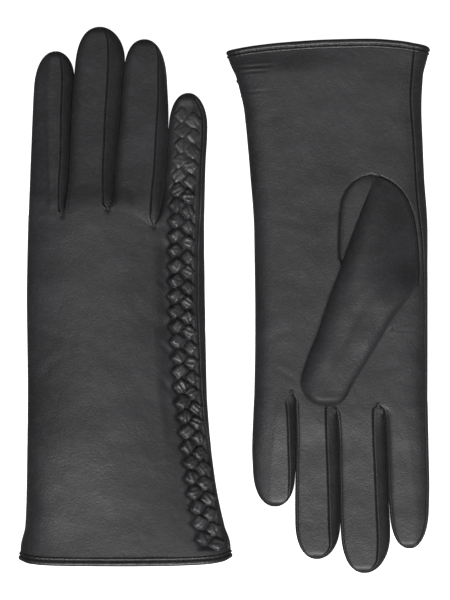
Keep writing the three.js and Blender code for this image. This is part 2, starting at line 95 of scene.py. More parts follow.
# ---- The two gloves -----------------------------------------------------------------------------
# A finger's edges and seams are rows of (y, x). A round is where an edge starts to close to the tip.
RIGHT = dict(
    name="right",
    back_up=True,
    rim=[(-51.7, 3.4), (-47, 1.9), (-37, 1.1), (-25, 0.85), (0, 0.7), (24, 1.0), (32.5, 1.3), (40.7, 1.8),
         (48, 3.0), (51.7, 4.6)],
    edge_fall=2.4,
    edge_power=7,
    near_power=8,
    flat_power=5.5,
    lean=-EDGE_LEAN,
    cuff_height=16.2,
    step=(34, 12),
    broad_step=(56, -16),
    hand_end=172,
    warp=[(-50, 0), (-31.1, 0.2), (-20, 2.4), (-8.2, 2.9), (3, 1.0), (14.3, -5.2), (27, -4.0), (42, -3)],
    sides_left=[(0, -51.7), (7, -51.5), (19, -49.2), (46, -48.3), (86, -47.8), (132, -48.3), (182, -47.3)],
    sides_right=[(0, 51.7), (7, 51.5), (19, 48.3), (46, 43.4), (86, 39.9), (132, 39.0), (182, 38.4)],
    crotches=[-31.1, -8.2, 14.3],
    back_seam=[(0, 51.6), (20, 48.0), (47, 43.1), (57, 41.4), (72, 39), (84, 38), (108, 36.8),
               (130, 35.9), (160, 35.9), (182, 36.9)],
    palm_seam=[(0, -41), (48, -40.6), (63, -41.6), (78, -43.1), (85, -44.5), (120, -46.8), (182, -46.4)],
    plait=[(11, 41.4), (28, 38), (47, 35), (67, 32.6), (84, 30.1), (106, 28.7), (126, 27.4),
           (150, 27.2), (175, 27.7), (194, 29.2), (214, 30.6), (227, 30.8)],
    fingers=[
        dict(name="index", stand=9.2, strip=1, tip=(-34.2, 253.1), round=(234, 238),
             left=[(172, -47.4), (190, -46.8), (219, -45.8), (229, -45.4), (238, -44.9)],
             right=[(172.2, -31.1), (175.4, -29.2), (184, -28.1), (202.6, -27.1), (221, -26.5),
                    (240, -25.3)],
             seam=[(172.2, -31.1), (174.6, -32.3), (184, -32.6), (202.6, -31.7), (221, -31.5), (240, -31.0),
                   (248, -31.6), (253, -33.4)]),
        dict(name="middle", stand=9.2, strip=1, tip=(-12.6, 265.1), round=(246, 246),
             left=[(172.2, -31.1), (175.4, -29.1), (184, -28.0), (202.6, -27.0), (221, -26.4), (240, -25.2),
                   (247, -24.6)],
             right=[(174.9, -8.2), (180, -5.6), (193, -5.1), (206, -4.0), (221, -2.4), (235, -1.5),
                    (247, -0.5)],
             seam=[(174.9, -8.2), (178, -10.7), (193, -10.9), (206.5, -10.4), (221, -9.9), (235, -9.0),
                   (249.7, -8.4), (259, -8.8), (265, -11.5)]),
        dict(name="ring", stand=9.2, thick=9.4, strip=1, tip=(9.4, 259.0), round=(243, 238),
             left=[(174.9, -8.2), (180, -5.5), (193, -5.0), (206, -3.9), (221, -2.3), (235, -1.4),
                   (247, -0.4)],
             right=[(166.8, 14.3), (171.7, 16.5), (184, 18.4), (197.7, 19.8), (212, 20.8), (221, 21.0),
                    (240, 20.2)],
             seam=[(166.8, 14.3), (169.5, 12.7), (173, 12.5), (184, 13.0), (193, 14.0), (212, 15.0),
                   (235, 16.2), (249.5, 16.2), (255, 15.0), (259, 11.0)]),
        dict(name="little", stand=3.6, strip=0, tip=(30.9, 232.6), round=(215, 214),
             left=[(166.8, 14.3), (171.7, 16.6), (184, 18.5), (197.7, 19.9), (212, 20.9), (220, 21.5)],
             right=[(170, 38.6), (184, 38.9), (198, 39.3), (212, 40.1), (219, 40.2)],
             seam=[(170, 36.9), (184, 37.2), (198, 37.8), (212, 38.6), (220, 38.2), (228, 34.5),
                   (232.6, 31.5)]),
    ],
)

LEFT = dict(
    name="left",
    back_up=False,
    rim=[(-50.6, 3.4), (-48.5, 2.4), (-41.5, 1.0), (-34.4, -0.1), (-20, -1.0), (0, -0.6), (22, 0.8),
         (36.4, 2.4), (50.6, 4.8)],
    edge_fall=0.0,
    edge_power=9,
    near_power=13,
    flat_power=8,
    lean=EDGE_LEAN,
    cuff_height=HAND_HEIGHT,
    step=(10, 20),
    broad_step=(-30, 46),
    hand_end=176,
    warp=[(-50, 0), (-37, 1.0), (-24.2, 1.6), (-13, 1.8), (-2.9, 1.3), (8, -0.8), (18.0, -4.6), (28, -3.5),
          (38, -2)],
    sides_left=[(0, -49.3), (5, -49.0), (9, -48.1), (15.8, -46.7), (31, -46.0), (53, -46.7), (66, -47.3),
                (94, -49.0), (146, -49.0), (188.5, -48.9)],
    sides_right=[(0, 49.2), (3, 49.1), (5.2, 48.7), (9.4, 47.3), (14.4, 45.3), (22.8, 43.2), (32.7, 41.2),
                 (53, 39.3), (66, 38.2), (94, 36.3), (146, 35.8), (188.5, 36.5)],
    crotches=[-24.2, -2.9, 18.0],
    back_seam=[(0, 50.5), (20, 45.0), (47, 38.8), (72, 35.6), (100, 33.6), (130, 33.0), (182, 33.6)],
    palm_seam=[(0, -42.4), (9, -41.6), (16, -41.0), (26, -40.4), (37, -41.0), (53, -42.2), (63, -42.8),
               (78, -43.8), (86, -44.8), (100, -46.4), (120, -47.2), (188, -47.6)],
    plait=[(11, 39.5), (32, 34.5), (54, 30.4), (76, 27.6), (98, 26), (120, 24.8), (146, 24.6),
           (170, 25.4), (188, 26.2), (200, 26.8), (212, 27), (223, 26.6)],
    fingers=[
        dict(name="index", stand=0.0, strip=0, tip=(-40.3, 249.0), round=(229, 231),
             left=[(172, -48.9), (199, -49.5), (219, -49.9), (233, -49.6)],
             right=[(177.6, -24.2), (181, -27.6), (190, -28.4), (199, -28.9), (219, -29.6), (232, -30.5)],
             seam=[(177.6, -24.2), (181, -28.0), (199, -29.5), (219, -30.1), (232, -31.0), (246, -35.0),
                   (249, -40)]),
        dict(name="middle", stand=0.0, strip=-1, tip=(-18.1, 261.1), round=(240, 241),
             left=[(177.6, -24.2), (181, -27.5), (190, -28.3), (199, -28.8), (219, -29.5), (238, -30.6)],
             right=[(177.3, -2.9), (182, -4.7), (190, -5.2), (210, -5.7), (233, -6.1), (243, -6.6)],
             seam=[(177.6, -24.2), (180, -21.9), (195, -22.2), (209, -22.9), (228.5, -23.7), (244.4, -24.4),
                   (254, -24.0), (261, -19.5)]),
        dict(name="ring", stand=0.9, strip=-1, tip=(5.3, 254.2), round=(236, 236),
             left=[(177.3, -2.9), (182, -4.6), (190, -5.1), (210, -5.6), (236, -6.0)],
             right=[(171.4, 18.0), (176, 15.5), (190, 15.4), (204, 15.6), (228.5, 16.0), (236, 15.9)],
             seam=[(177.3, -2.9), (180, 1.2), (195, 0.8), (209, 0.3), (224, -0.2), (238, -0.5), (247, -1.0),
                   (254, 3.8)]),
        dict(name="little", stand=2.4, strip=-1, tip=(26.0, 228.4), round=(214, 210),
             left=[(171.4, 18.0), (176, 15.6), (190, 15.5), (204, 15.7), (216, 16.3)],
             right=[(172, 36.2), (185, 36.8), (200, 37.3), (211, 36.9)],
             seam=[(171.4, 18.0), (175, 20.6), (185, 19.9), (199, 19.4), (214, 19.0), (223.6, 19.4),
                   (228, 24.5)]),
    ],
)

# Creases in the leather: from (x, y) to (x, y), depth and width.
RIGHT["creases_up"] = [
    (22, 62, 19, 96, 0.2, 2.0), (20, 120, 19, 158, 0.25, 2.0), (-44, 92, -30, 104, 0.2, 2.4),
    (-45, 118, -33, 112, 0.2, 2.4), (4, 176, 4, 186, 0.2, 2.0),
    (34, 33, 29, 44, 0.25, 1.0), (24, 84, 18, 92, 0.25, 1.2), (23, 104, 17, 110, 0.22, 1.2),
    (22, 136, 16, 141, 0.22, 1.2), (-40, 176, -36, 184, 0.15, 1.6),
]
LEFT["creases_up"] = [
    (27, 12.0, 46, 13.2, 0.42, 0.6), (30, 14.6, 42, 15.4, 0.30, 0.6), (28, 24.4, 41, 25.2, 0.16, 0.6),
    (-35, 139, -30, 141.6, 0.16, 0.8), (-44, 142, -30, 141.4, 0.10, 0.7), (6, 92, 26, 86, 0.12, 2.2),
    (4, 118, 27, 116, 0.1, 2.6), (15, 140, 31, 146, 0.12, 2.4),
    (-38, 158, -22, 162, 0.12, 2.2), (16, 166, 26, 160, 0.15, 1.4), (-1, 173, 4, 163, 0.15, 1.5),
    (22, 36, 36, 40, 0.1, 1.8),
]


# ---- Small helpers ------------------------------------------------------------------------------
def soft_step(value, start, end):
    """0 before start, 1 after end, and a smooth climb in between."""
    t = np.clip((np.asarray(value, float) - start) / (end - start), 0.0, 1.0)
    return t * t * (3 - 2 * t)


def follow(points, at):
    """A value read off rows of (place, value) on a smooth curve that never overshoots its rows."""
    table = np.asarray(points, float)
    places, values = table[:, 0], table[:, 1]
    rises = np.diff(values) / np.diff(places)
    onward = rises[:-1] * rises[1:] > 0
    total = np.where(onward, rises[:-1] + rises[1:], 1.0)
    slopes = np.concatenate([rises[:1], np.where(onward, 2 * rises[:-1] * rises[1:] / total, 0), rises[-1:]])
    at = np.clip(at, places[0], places[-1])
    i = np.clip(np.searchsorted(places, at, side="right") - 1, 0, len(places) - 2)
    span = places[i + 1] - places[i]
    t = (at - places[i]) / span
    return (
        (2 * t**3 - 3 * t**2 + 1) * values[i]
        + (t**3 - 2 * t**2 + t) * span * slopes[i]
        + (3 * t**2 - 2 * t**3) * values[i + 1]
        + (t**3 - t**2) * span * slopes[i + 1]
    )


def swell(x, y, length, seed):
    """Soft uneven swells between about -1 and 1, of about that wavelength."""
    rng = np.random.RandomState(seed)
    total = np.zeros(np.broadcast(x, y).shape)
    for _ in range(7):
        heading, pace = rng.uniform(0, math.pi), 2 * math.pi / (length * rng.uniform(0.7, 1.6))
        along = x * math.cos(heading) + y * math.sin(heading)
        total = total + np.sin(along * pace + rng.uniform(0, 2 * math.pi))
    return total / 3.5


def down_in_metres(glove, points):
    """Sets glove points down in the pair, in metres."""
    p = np.array(points, float).reshape(-1, 3)
    if glove["back_up"]:
        return (p + RIGHT_PLACE) * MM
    return (p * (-1, -1, 1) + LEFT_PLACE) * MM


def spot(glove, x, y, z):
    """One glove point set down in the pair."""
    return tuple(down_in_metres(glove, [(x, y, z)])[0])


def grid_faces(rows, columns, closed, flip):
    """Quads between the points of a grid, which may close round its columns."""
    spans = columns if closed else columns - 1
    r, c = np.meshgrid(np.arange(rows - 1), np.arange(spans), indexing="ij")
    n = (c + 1) % columns
    quads = np.stack([r * columns + c, r * columns + n, (r + 1) * columns + n, (r + 1) * columns + c], -1)
    quads = quads.reshape(-1, 4)
    return quads[:, ::-1] if flip else quads


def new_object(name, points, faces, material, wear_and_painted_light=None):
    """A piece at the origin. Its per-point value above 0 lightens ridges by wear and painted highlight, and
    below 0 darkens grooves and crotches with painted shade.
    """
    mesh = bpy.data.meshes.new(name)
    mesh.from_pydata([tuple(p) for p in points], [], [tuple(int(i) for i in f) for f in faces])
    if wear_and_painted_light is not None:
        # The attribute carries wear and painted light: painted highlight on ridges, painted shade in grooves
        # and crotches.
        worn = mesh.attributes.new("wear_and_painted_light", "FLOAT", "POINT")
        worn.data.foreach_set("value", np.ravel(wear_and_painted_light).astype(np.float32))
    piece = bpy.data.objects.new(name, mesh)
    bpy.context.scene.collection.objects.link(piece)
    mesh.materials.append(material)
    return piece


def merge_doubles(piece):
    """Welds points that lie on each other, as at a pole."""
    shell = bmesh.new()
    shell.from_mesh(piece.data)
    bmesh.ops.remove_doubles(shell, verts=shell.verts, dist=2e-6)
    shell.to_mesh(piece.data)
    shell.free()
    piece.data.update()


def only(piece):
    """Selects one piece and nothing else."""
    bpy.ops.object.select_all(action="DESELECT")
    piece.select_set(True)
    bpy.context.view_layer.objects.active = piece


def finish_sheet(piece, thickness, angle=50):
    """Closes the poles, gives a leather sheet its thickness inwards and smooths it."""
    merge_doubles(piece)
    only(piece)
    wall = piece.modifiers.new("wall", "SOLIDIFY")
    wall.thickness = thickness * MM
    wall.offset = -1
    bpy.ops.object.modifier_apply(modifier=wall.name)
    bpy.ops.object.shade_smooth_by_angle(angle=math.radians(angle))


def sheet(glove, name, grid, material, wear_and_painted_light, flip=False):
    """An open panel of leather from a grid of points on its outer face."""
    faces = grid_faces(*grid.shape[:2], False, flip != (not glove["back_up"]))
    piece = new_object(name, down_in_metres(glove, grid), faces, material, wear_and_painted_light)
    finish_sheet(piece, LEATHER)
    return piece


def faced_out(grid, faces):
    """A closed shape's faces, turned round if they point inwards."""
    p = grid.reshape(-1, 3)
    total = 0.0
    for f in faces:
        for k in range(1, len(f) - 1):
            total += np.dot(p[f[0]], np.cross(p[f[k]], p[f[k + 1]]))
    return faces if total > 0 else faces[:, ::-1]


def halves(left, right):
    """The middle of a span and half its width."""
    return (left + right) / 2, (right - left) / 2



# ---- Sections across a glove --------------------------------------------------------------------
EDGE_SPREAD = np.sin(np.linspace(-math.pi / 2, math.pi / 2, 420))


def edge_drop(glove, x):
    """How far the back sinks towards the index finger's edge."""
    return glove["edge_fall"] * soft_step(-x, 20, 50)


def hand_levels(glove, x, y):
    """z of the lower and the upper sheet of the hand, away from its sides."""
    lift, start, end = (THUMB_LIFT, 4, 68) if glove["back_up"] else (PLAIT_LIFT, 2, 16)
    rest = CUFF_LIFT * (1 - soft_step(y, 3, 14))
    height = HAND_HEIGHT + (glove["cuff_height"] - HAND_HEIGHT) * (1 - soft_step(y, 6, 66))
    low = rest + lift * soft_step(x, *glove["step"]) * soft_step(y, start, end)
    rise = CUFF_LIFT * (1 - soft_step(y, 3, 66))
    high = rise + height + lift * soft_step(x, *glove["broad_step"]) * soft_step(y, start, end)
    return low, high - edge_drop(glove, x) * soft_step(y, 30, 95)


def hand_edge(glove, share):
    """How far the sheets stand apart across the hand, 1 in the middle and 0 at the sides."""
    return (1 - np.abs(share) ** glove["edge_power"]) ** (1 / 2.1)


def roll_off(glove, x, y):
    """How far the palm's sheet has rolled away from its level towards the sides."""
    middle, half = halves(follow(glove["sides_left"], y), follow(glove["sides_right"], y))
    share = np.clip((x - middle) / half, -1, 1)
    low, high = hand_levels(glove, x, y)
    reach = 0.4 if glove["back_up"] else 0.6
    return reach * (high - low) * (1 - hand_edge(glove, share))


def hand_section(glove, y):
    """The hand's back and palm curves at one y, as (x, z) from the index to the little finger."""
    middle, half = halves(follow(glove["sides_left"], y), follow(glove["sides_right"], y))
    x = middle + half * EDGE_SPREAD
    low, high = hand_levels(glove, x, y)
    edge = low + 0.4 * (high - low)
    spread = hand_edge(glove, EDGE_SPREAD)
    upper = edge + (high - edge) * spread
    lower = edge - (edge - low) * spread
    back, palm = (upper, lower) if glove["back_up"] else (lower, upper)
    return np.column_stack([x, back]), np.column_stack([x, palm])


def finger_edges(finger, y, y_left, y_right):
    """x of a finger's two edges, each at its own y, and how far its tip has closed (1 is open)."""
    tip_x, tip_y = finger["tip"]
    edges = []
    for side, at, starts in (("left", y_left, finger["round"][0]), ("right", y_right, finger["round"][1])):
        x = follow(finger[side], min(at, starts))
        if at > starts:
            slope = (follow(finger[side], starts) - follow(finger[side], starts - 6)) / 6
            x = x + slope * (at - starts) * (1 - (at - starts) / (tip_y - starts))
        closing = max(0.0, (at - starts) / (tip_y - starts))
        edges.append(tip_x + (x - tip_x) * max(0.0, 1 - closing**2.25) ** (1 / 2.0))
    closing = max(0.0, (y - (tip_y - TIP_ROUND)) / TIP_ROUND)
    return edges[0], edges[1], max(0.0, 1 - closing**2.8) ** (1 / 2.0)


def finger_marks(glove):
    """x of the places where the fingers start and end at the crotch line, in order."""
    end = glove["hand_end"]
    return [follow(glove["sides_left"], end), *glove["crotches"], follow(glove["sides_right"], end)]


def warp_left(glove, y):
    """How much of the crotch line's bend is left at one y beyond it."""
    return (1 - min(1.0, max(0.0, y - glove["hand_end"]) / WARP_REACH)) ** 2


def finger_section(glove, finger, y, base_left, base_right):
    """A finger's back and palm curves at one y, and x of its visible seam."""
    along = y - glove["hand_end"]
    eased = warp_left(glove, y)
    y_left = y + follow(glove["warp"], base_left) * eased
    y_right = y + follow(glove["warp"], base_right) * eased
    left, right, open_share = finger_edges(finger, y, y_left, y_right)
    share = EDGE_SPREAD
    centre, half = halves(left, right)
    x = centre + half * share
    joined = 1 - soft_step(along, 0, 15 if glove["back_up"] else 26)
    outside = {"index": -1, "little": 1}.get(finger["name"], 0)
    walls = 1 - soft_step(along / (8 + 120 * soft_step(outside * share, -0.2, 0.7)), 0, 1)
    base_centre, base_half = halves(base_left, base_right)
    base_x = base_centre + base_half * share
    low0, high0 = hand_levels(glove, base_x, glove["hand_end"])
    tip_y = finger["tip"][1]
    reach = np.clip(along / (tip_y - glove["hand_end"] - 4), 0, 1)
    thick = finger.get("thick", FINGER_HEIGHT)
    if glove["back_up"]:
        stand = finger["stand"] * (1 - reach)
        thickness = thick - (thick - 9.6) * reach
    else:
        stand = finger["stand"] * (1 - 0.5 * reach)
        thickness = thick + 0.5 - 3.6 * reach
    low = joined * low0 + (1 - joined) * stand
    high = joined * high0 + (1 - joined) * (stand + thickness - edge_drop(glove, base_x) * (1 - reach))
    middle = low + 0.4 * (high - low)
    high = middle + (high - middle) * open_share
    low = middle - (middle - low) * open_share
    marks = finger_marks(glove)
    hand_centre, hand_half = halves(marks[0], marks[-1])
    hand_spread = hand_edge(glove, np.clip((base_x - hand_centre) / hand_half, -1, 1))
    round_spread = (1 - np.abs(share) ** 2.9) ** (1 / 2.4)
    flat_spread = (1 - np.abs(share) ** glove["flat_power"]) ** (1 / 2.2)
    seam_y = y_right if finger["strip"] == 1 else y_left
    seam = np.clip(follow(finger["seam"], seam_y), left + 0.02, right - 0.02)
    seam_share = (seam - centre) / max(half, 1e-6)
    top_spread = flat_spread
    if finger["strip"]:
        side = finger["strip"]
        toward, edge_at = share * side, seam_share * side
        beyond = np.clip((toward - edge_at) / max(1 - edge_at, 1e-3), 0, 1)
        strip = (1 - 0.42 * beyond**1.3) * np.sqrt(np.clip(1 - beyond**8, 0, 1))
        near = (1 - np.clip(-toward, 0, 1) ** glove["near_power"]) ** (1 / 2.2)
        top_spread = np.where(toward > edge_at, strip, near)
        keep = soft_step(open_share, 0.35, 0.9)
        top_spread = keep * top_spread + (1 - keep) * flat_spread
    top = walls * hand_spread + (1 - walls) * top_spread
    bottom = walls * hand_spread + (1 - walls) * round_spread
    upper = middle + (high - middle) * top
    lower = middle - (middle - low) * bottom
    x_upper, x_lower = x, x
    if along > 0:
        facing_left = 0 if finger["name"] == "index" else 1
        facing_right = 0 if finger["name"] == "little" else 1
        beside = np.abs(share) ** 6 * np.where(share < 0, facing_left, facing_right)
        lean = glove["lean"] * beside * soft_step(along, 0, 8) * open_share
        x_upper = x + lean * (upper - middle) / np.maximum(high - middle, 0.01)
        x_lower = x - lean * (middle - lower) / np.maximum(middle - low, 0.01)
    above, below = np.column_stack([x_upper, upper]), np.column_stack([x_lower, lower])
    back, palm = (above, below) if glove["back_up"] else (below, above)
    return back, palm, seam, left, right


def loop_of(back, palm):
    """One closed run over the back and home under the palm, with the length run so far."""
    run = np.vstack([back, palm[::-1], back[:1]])
    length = np.concatenate([[0], np.cumsum(np.hypot(*np.diff(run, axis=0).T))])
    return run, length


def length_at(run, length, x, on_back):
    """Where on the loop the back or the palm curve passes x."""
    count = len(EDGE_SPREAD)
    if on_back:
        return np.interp(x, run[:count, 0], length[:count])
    return np.interp(-x, -run[count : 2 * count, 0], length[count : 2 * count])


# How far from a seam the columns beside it lie.
SEAM_COLUMNS = np.array([0.0, 0.13, 0.27, 0.45, 0.75, 1.15])


def shares(count, span):
    """Column places between two anchors, closer together at both ends, where seams are tucked in."""
    ends = SEAM_COLUMNS * min(1.0, span / 5.0) / max(span, 1e-6)
    inner = ends[-1] + 0.8 * min(1.0, span / 5.0) / max(span, 1e-6)
    return np.concatenate([ends, np.linspace(inner, 1 - inner, count), 1 - ends[::-1]])


def points_on(run, length, places):
    """Points of a closed run at these lengths along it."""
    places = np.mod(np.asarray(places), length[-1])
    return np.column_stack([np.interp(places, length, run[:, 0]), np.interp(places, length, run[:, 1])])


def out_of_loop(run, length, places, reach):
    """Points of a closed run, and a unit step out of it at each."""
    p = points_on(run, length, places)
    ahead = points_on(run, length, places + reach) - points_on(run, length, places - reach)
    outward = np.column_stack([-ahead[:, 1], ahead[:, 0]])
    outward /= np.maximum(np.linalg.norm(outward, axis=1, keepdims=True), 1e-9)
    if np.sum((p - p.mean(axis=0)) * outward) < 0:
        outward = -outward
    return p, outward


# Columns across each finger's back or palm, and across a fourchette.
GROUP_COUNTS = {"index": 26, "middle": 24, "ring": 24, "little": 26}
FOURCHETTE_COUNT = 10


def hand_anchors(glove, y, run, length):
    """Where the back's and the palm's groups of columns start and end on the loop."""
    crotches = glove["crotches"]
    back_seam = length_at(run, length, follow(glove["back_seam"], y), True)
    palm_seam = length_at(run, length, follow(glove["palm_seam"], y), False)
    over = [length_at(run, length, x, True) for x in crotches]
    under = [length_at(run, length, x, False) for x in crotches][::-1]
    return [palm_seam - length[-1], *over, back_seam], [back_seam, *under, palm_seam]


def spread_columns(anchors, counts):
    """Column places for all the groups between anchors."""
    places = []
    for start, end, count in zip(anchors[:-1], anchors[1:], counts):
        span = start + (end - start) * shares(count, end - start)
        places.append(span if not places else span[1:])
    return np.concatenate(places)


def rim_shift(glove, x, y):
    """How far the bow of the rim moves a point near the cuff."""
    return follow(glove["rim"], x) * np.maximum(0, 1 - y / 50)


def row_of(glove, run, length, places, y, eased):
    """One row of glove points, with the rim bowed and the crotch line bent through the crotches."""
    section = points_on(run, length, places)
    x = section[:, 0]
    shift = follow(glove["warp"], x) * eased + rim_shift(glove, x, y)
    return np.column_stack([x, y + shift, section[:, 1]])


def hand_panels(glove):
    """The grids of the back and the palm panel."""
    over = [GROUP_COUNTS[n] for n in FINGER_ORDER]
    under = over[::-1]
    ys = np.linspace(HEM_TOP - 1.2, glove["hand_end"], int((glove["hand_end"] - HEM_TOP) / ROW_STEP))
    back_rows, palm_rows = [], []
    for y in ys:
        back, palm = hand_section(glove, y)
        run, length = loop_of(back, palm)
        over_at, under_at = hand_anchors(glove, y, run, length)
        eased = (y / glove["hand_end"]) ** CROTCH_BEND
        back_rows.append(row_of(glove, run, length, spread_columns(over_at, over), y, eased))
        palm_rows.append(row_of(glove, run, length, spread_columns(under_at, under), y, eased))
    return np.array(back_rows), np.array(palm_rows)


def finger_rows(glove, finger):
    """y of a finger's rows, closer together towards its tip."""
    start, end, cap_length = glove["hand_end"], finger["tip"][1], 12
    body = np.linspace(start, end - cap_length, int((end - cap_length - start) / ROW_STEP))
    cap = end - cap_length + cap_length * np.sin(np.linspace(0, math.pi / 2, 26))[1:]
    return np.concatenate([body, cap])


def finger_panels(glove, finger):
    """Grids of a finger's back, outer fourchette, palm and inner fourchette, where it has them."""
    index, little = finger["name"] == "index", finger["name"] == "little"
    order = FINGER_ORDER.index(finger["name"])
    marks = finger_marks(glove)
    base_left, base_right = marks[order], marks[order + 1]
    grids = {"back": [], "outer": [], "palm": [], "inner": []}
    count = GROUP_COUNTS[finger["name"]]
    for y in finger_rows(glove, finger):
        first = y == glove["hand_end"]
        along = y - glove["hand_end"]
        eased = warp_left(glove, y)
        back, palm, seam, left, right = finger_section(glove, finger, y, base_left, base_right)
        if first:
            base_centre, base_half = halves(base_left, base_right)
            back[:, 0] = palm[:, 0] = base_centre + base_half * EDGE_SPREAD
            left, right = base_left, base_right
        run, length = loop_of(back, palm)
        grow = soft_step(along, 0, 5)
        thin = min(0.8, 0.12 * (right - left))
        back_outer = palm_outer = right - thin * grow
        back_inner = palm_inner = left + thin * grow
        to_seam = 0.0 if first else soft_step(along, -2, 3)
        if finger["strip"] == 1:
            back_outer = right + (seam - right) * to_seam
        if finger["strip"] == -1:
            palm_inner = left + (seam - left) * to_seam
        if index:
            offset = follow(glove["palm_seam"], glove["hand_end"]) - marks[0]
            palm_inner = left + min(offset, 0.2 * (right - left))
        if little:
            offset = marks[-1] - follow(glove["back_seam"], glove["hand_end"])
            back_outer = right - min(offset, 0.2 * (right - left))
        a = length_at(run, length, back_inner, True)
        b = length_at(run, length, back_outer, True)
        c = length_at(run, length, palm_outer, False)
        d = length_at(run, length, palm_inner, False)
        if index:
            a = d - length[-1]
        if little:
            c = b
        spans = {"back": (a, b), "outer": (b, c), "palm": (c, d), "inner": (d, a + length[-1])}
        if index:
            spans.pop("inner")
        if little:
            spans.pop("outer")
        for key, (start, end) in spans.items():
            columns = shares(count if key in ("back", "palm") else FOURCHETTE_COUNT, end - start)
            grids[key].append(row_of(glove, run, length, start + (end - start) * columns, y, eased))
    return {key: np.array(rows) for key, rows in grids.items() if rows}


# ---- Relief pressed into the sheets -------------------------------------------------------------
def normals_of(grid):
    """Unit normals of a grid."""
    down = np.gradient(grid, axis=0)
    across = np.gradient(grid, axis=1)
    n = np.cross(across, down)
    size = np.linalg.norm(n, axis=2, keepdims=True)
    return n / np.maximum(size, 1e-9)


def crease_depth(x, y, creases):
    """Depth of the creases at a point, each with a low swell along both its sides."""
    depth = np.zeros_like(x)
    for x0, y0, x1, y1, deep, wide in creases:
        run = np.array([x1 - x0, y1 - y0])
        size = np.hypot(*run)
        t = np.clip(((x - x0) * run[0] + (y - y0) * run[1]) / size**2, 0, 1)
        off = np.hypot(x - x0 - t * run[0], y - y0 - t * run[1]) / wide
        fade = np.sin(np.clip(t, 0.04, 0.96) * math.pi) ** 0.5
        depth += deep * fade * (np.exp(-(off**2)) - 0.55 * np.exp(-((off - 1.9) ** 2)))
    return depth


def under_plait(glove, x, y, flat):
    """How far the back is sunk under the plait, with a scalloped edge, and gathered beside it."""
    plait_end = glove["plait"][-1][0]
    middle = follow(glove["plait"], y)
    in_reach = soft_step(y, 8, 11) * (1 - soft_step(y, plait_end - 2, plait_end + 2))
    deep = 1.9 - 1.3 * soft_step(y, 176, 200)
    scallop = np.where(x < middle, 0.9 * np.cos((y - PLAIT_START) * 2 * math.pi / PLAIT_PITCH), 0)
    channel = deep * (1 - soft_step(np.abs(x - middle) - scallop, 4.8, 6.4)) * in_reach
    gathered = 0.9 * soft_step(x - middle, -15, -5.5) * in_reach
    gathered = gathered * (1 + 0.25 * swell(x * 0.3, y, 12, 44)) * soft_step(y, 40, 90)
    gathered = gathered * (1 - soft_step(y, 150, 180))
    return channel * flat + gathered * flat


def press(glove, grid, key, tuck_start=1.0, tuck_end=1.0):
    """Tucks a sheet's long edges in along its seams and gives its face worn leather's wrinkles; also returns
    a value per point that lightens ridges and the swells' tops and paints shade into seams, crotches and the
    thumb's oval seam.
    """
    out = normals_of(grid)
    if not glove["back_up"]:
        out = -out
    x, y = grid[..., 0], grid[..., 1]
    across = np.linalg.norm(np.diff(grid, axis=1), axis=2)
    from_start = np.concatenate([np.zeros((len(grid), 1)), np.cumsum(across, axis=1)], axis=1)
    from_end = from_start[:, -1:] - from_start
    pucker = 1 + 0.25 * np.sin(y * 2 * math.pi / 1.9)
    tuck = np.zeros_like(x)
    ridge = np.zeros_like(x)
    groove = np.zeros_like(x)
    for away, strength in ((from_start, tuck_start), (from_end, tuck_end)):
        strength = np.asarray(strength)
        if strength.ndim == 1:
            strength = strength[:, None]
        tuck = tuck + strength * SEAM_TUCK * pucker * np.exp(-((away / SEAM_WIDTH) ** 2))
        ridge = ridge + strength * 0.09 * np.exp(-(((away - 0.85) / 0.4) ** 2))
        # groove marks the seam lines, which are darkened in colour as painted shade.
        groove = groove + strength * np.exp(-((away / 0.34) ** 2))
    up = out[..., 2]
    flat = np.clip(np.abs(up) * 1.4, 0, 1)
    worn = 0.12 * swell(x, y, 26, 3) + 0.03 * swell(x, y, 9, 5)
    depth = np.zeros_like(x)
    if key in ("back", "palm"):
        depth = np.where(up > 0.15, 0.6 * crease_depth(x, y, glove["creases_up"]), 0)
    on_back = (up > 0) == glove["back_up"]
    moved = worn * flat - depth - np.where(on_back, under_plait(glove, x, y, flat), 0)
    # dark is painted shade: it darkens the crotches, the thumb's oval seam, a spot round the palm's tack and
    # the seam lines.
    dark = np.zeros_like(x)
    for cx in glove["crotches"]:
        cy = glove["hand_end"] + follow(glove["warp"], cx)
        near = np.exp(-(((x - cx) / 1.1) ** 2 + ((y - cy) / 1.5) ** 2))
        moved = moved - (0.5 if glove["back_up"] else 0.2) * near * np.abs(up)
        dark = np.maximum(dark, 0.7 * near)
    grid = grid + out * (moved - tuck + ridge)[..., None]
    if key == "palm":
        bed, reach = thumb_bed(glove, x, y, up)
        grid[..., 2] -= bed
        # Painted shade along the thumb's oval seam.
        dark = np.maximum(dark, reach)
        if not glove["back_up"]:
            # Painted shade round the tack beside the thumb.
            off_x, off_y = (x - THUMB_TACK[0]) / 0.8, (y - THUMB_TACK[1]) / 0.7
            dark = np.maximum(dark, 0.9 * np.exp(-(off_x**2 + off_y**2)) * (up > 0))
    # Ridges beside the seams get a painted highlight and the swells' tops are made lighter; painted shade
    # overrides both.
    wear_and_painted_light = np.clip(ridge * 3.2 + 0.35 * np.clip(worn * 4, 0, 1), 0, 1)
    dark = np.maximum(dark, np.clip(groove, 0, 1))
    return grid, wear_and_painted_light * (1 - dark) - dark


# ---- The set-in thumb ---------------------------------------------------------------------------
# The oval is rows of (y, x of its left side, x of its right side).
OVAL = [(65.6, -20.9, -20.9), (66.6, -25.9, -17.0), (69.0, -30.3, -12.8), (72.7, -34.7, -9.5),
        (77.6, -38.2, -7.3), (85.0, -41.1, -6.3), (93.0, -42.6, -5.8), (102, -43.6, -5.8),
        (106, -43.9, -6.0), (110.7, -44.1, -8.5), (114.5, -43.9, -13.5), (117.2, -43.7, -20.5),
        (118.5, -43.6, -28.0)]
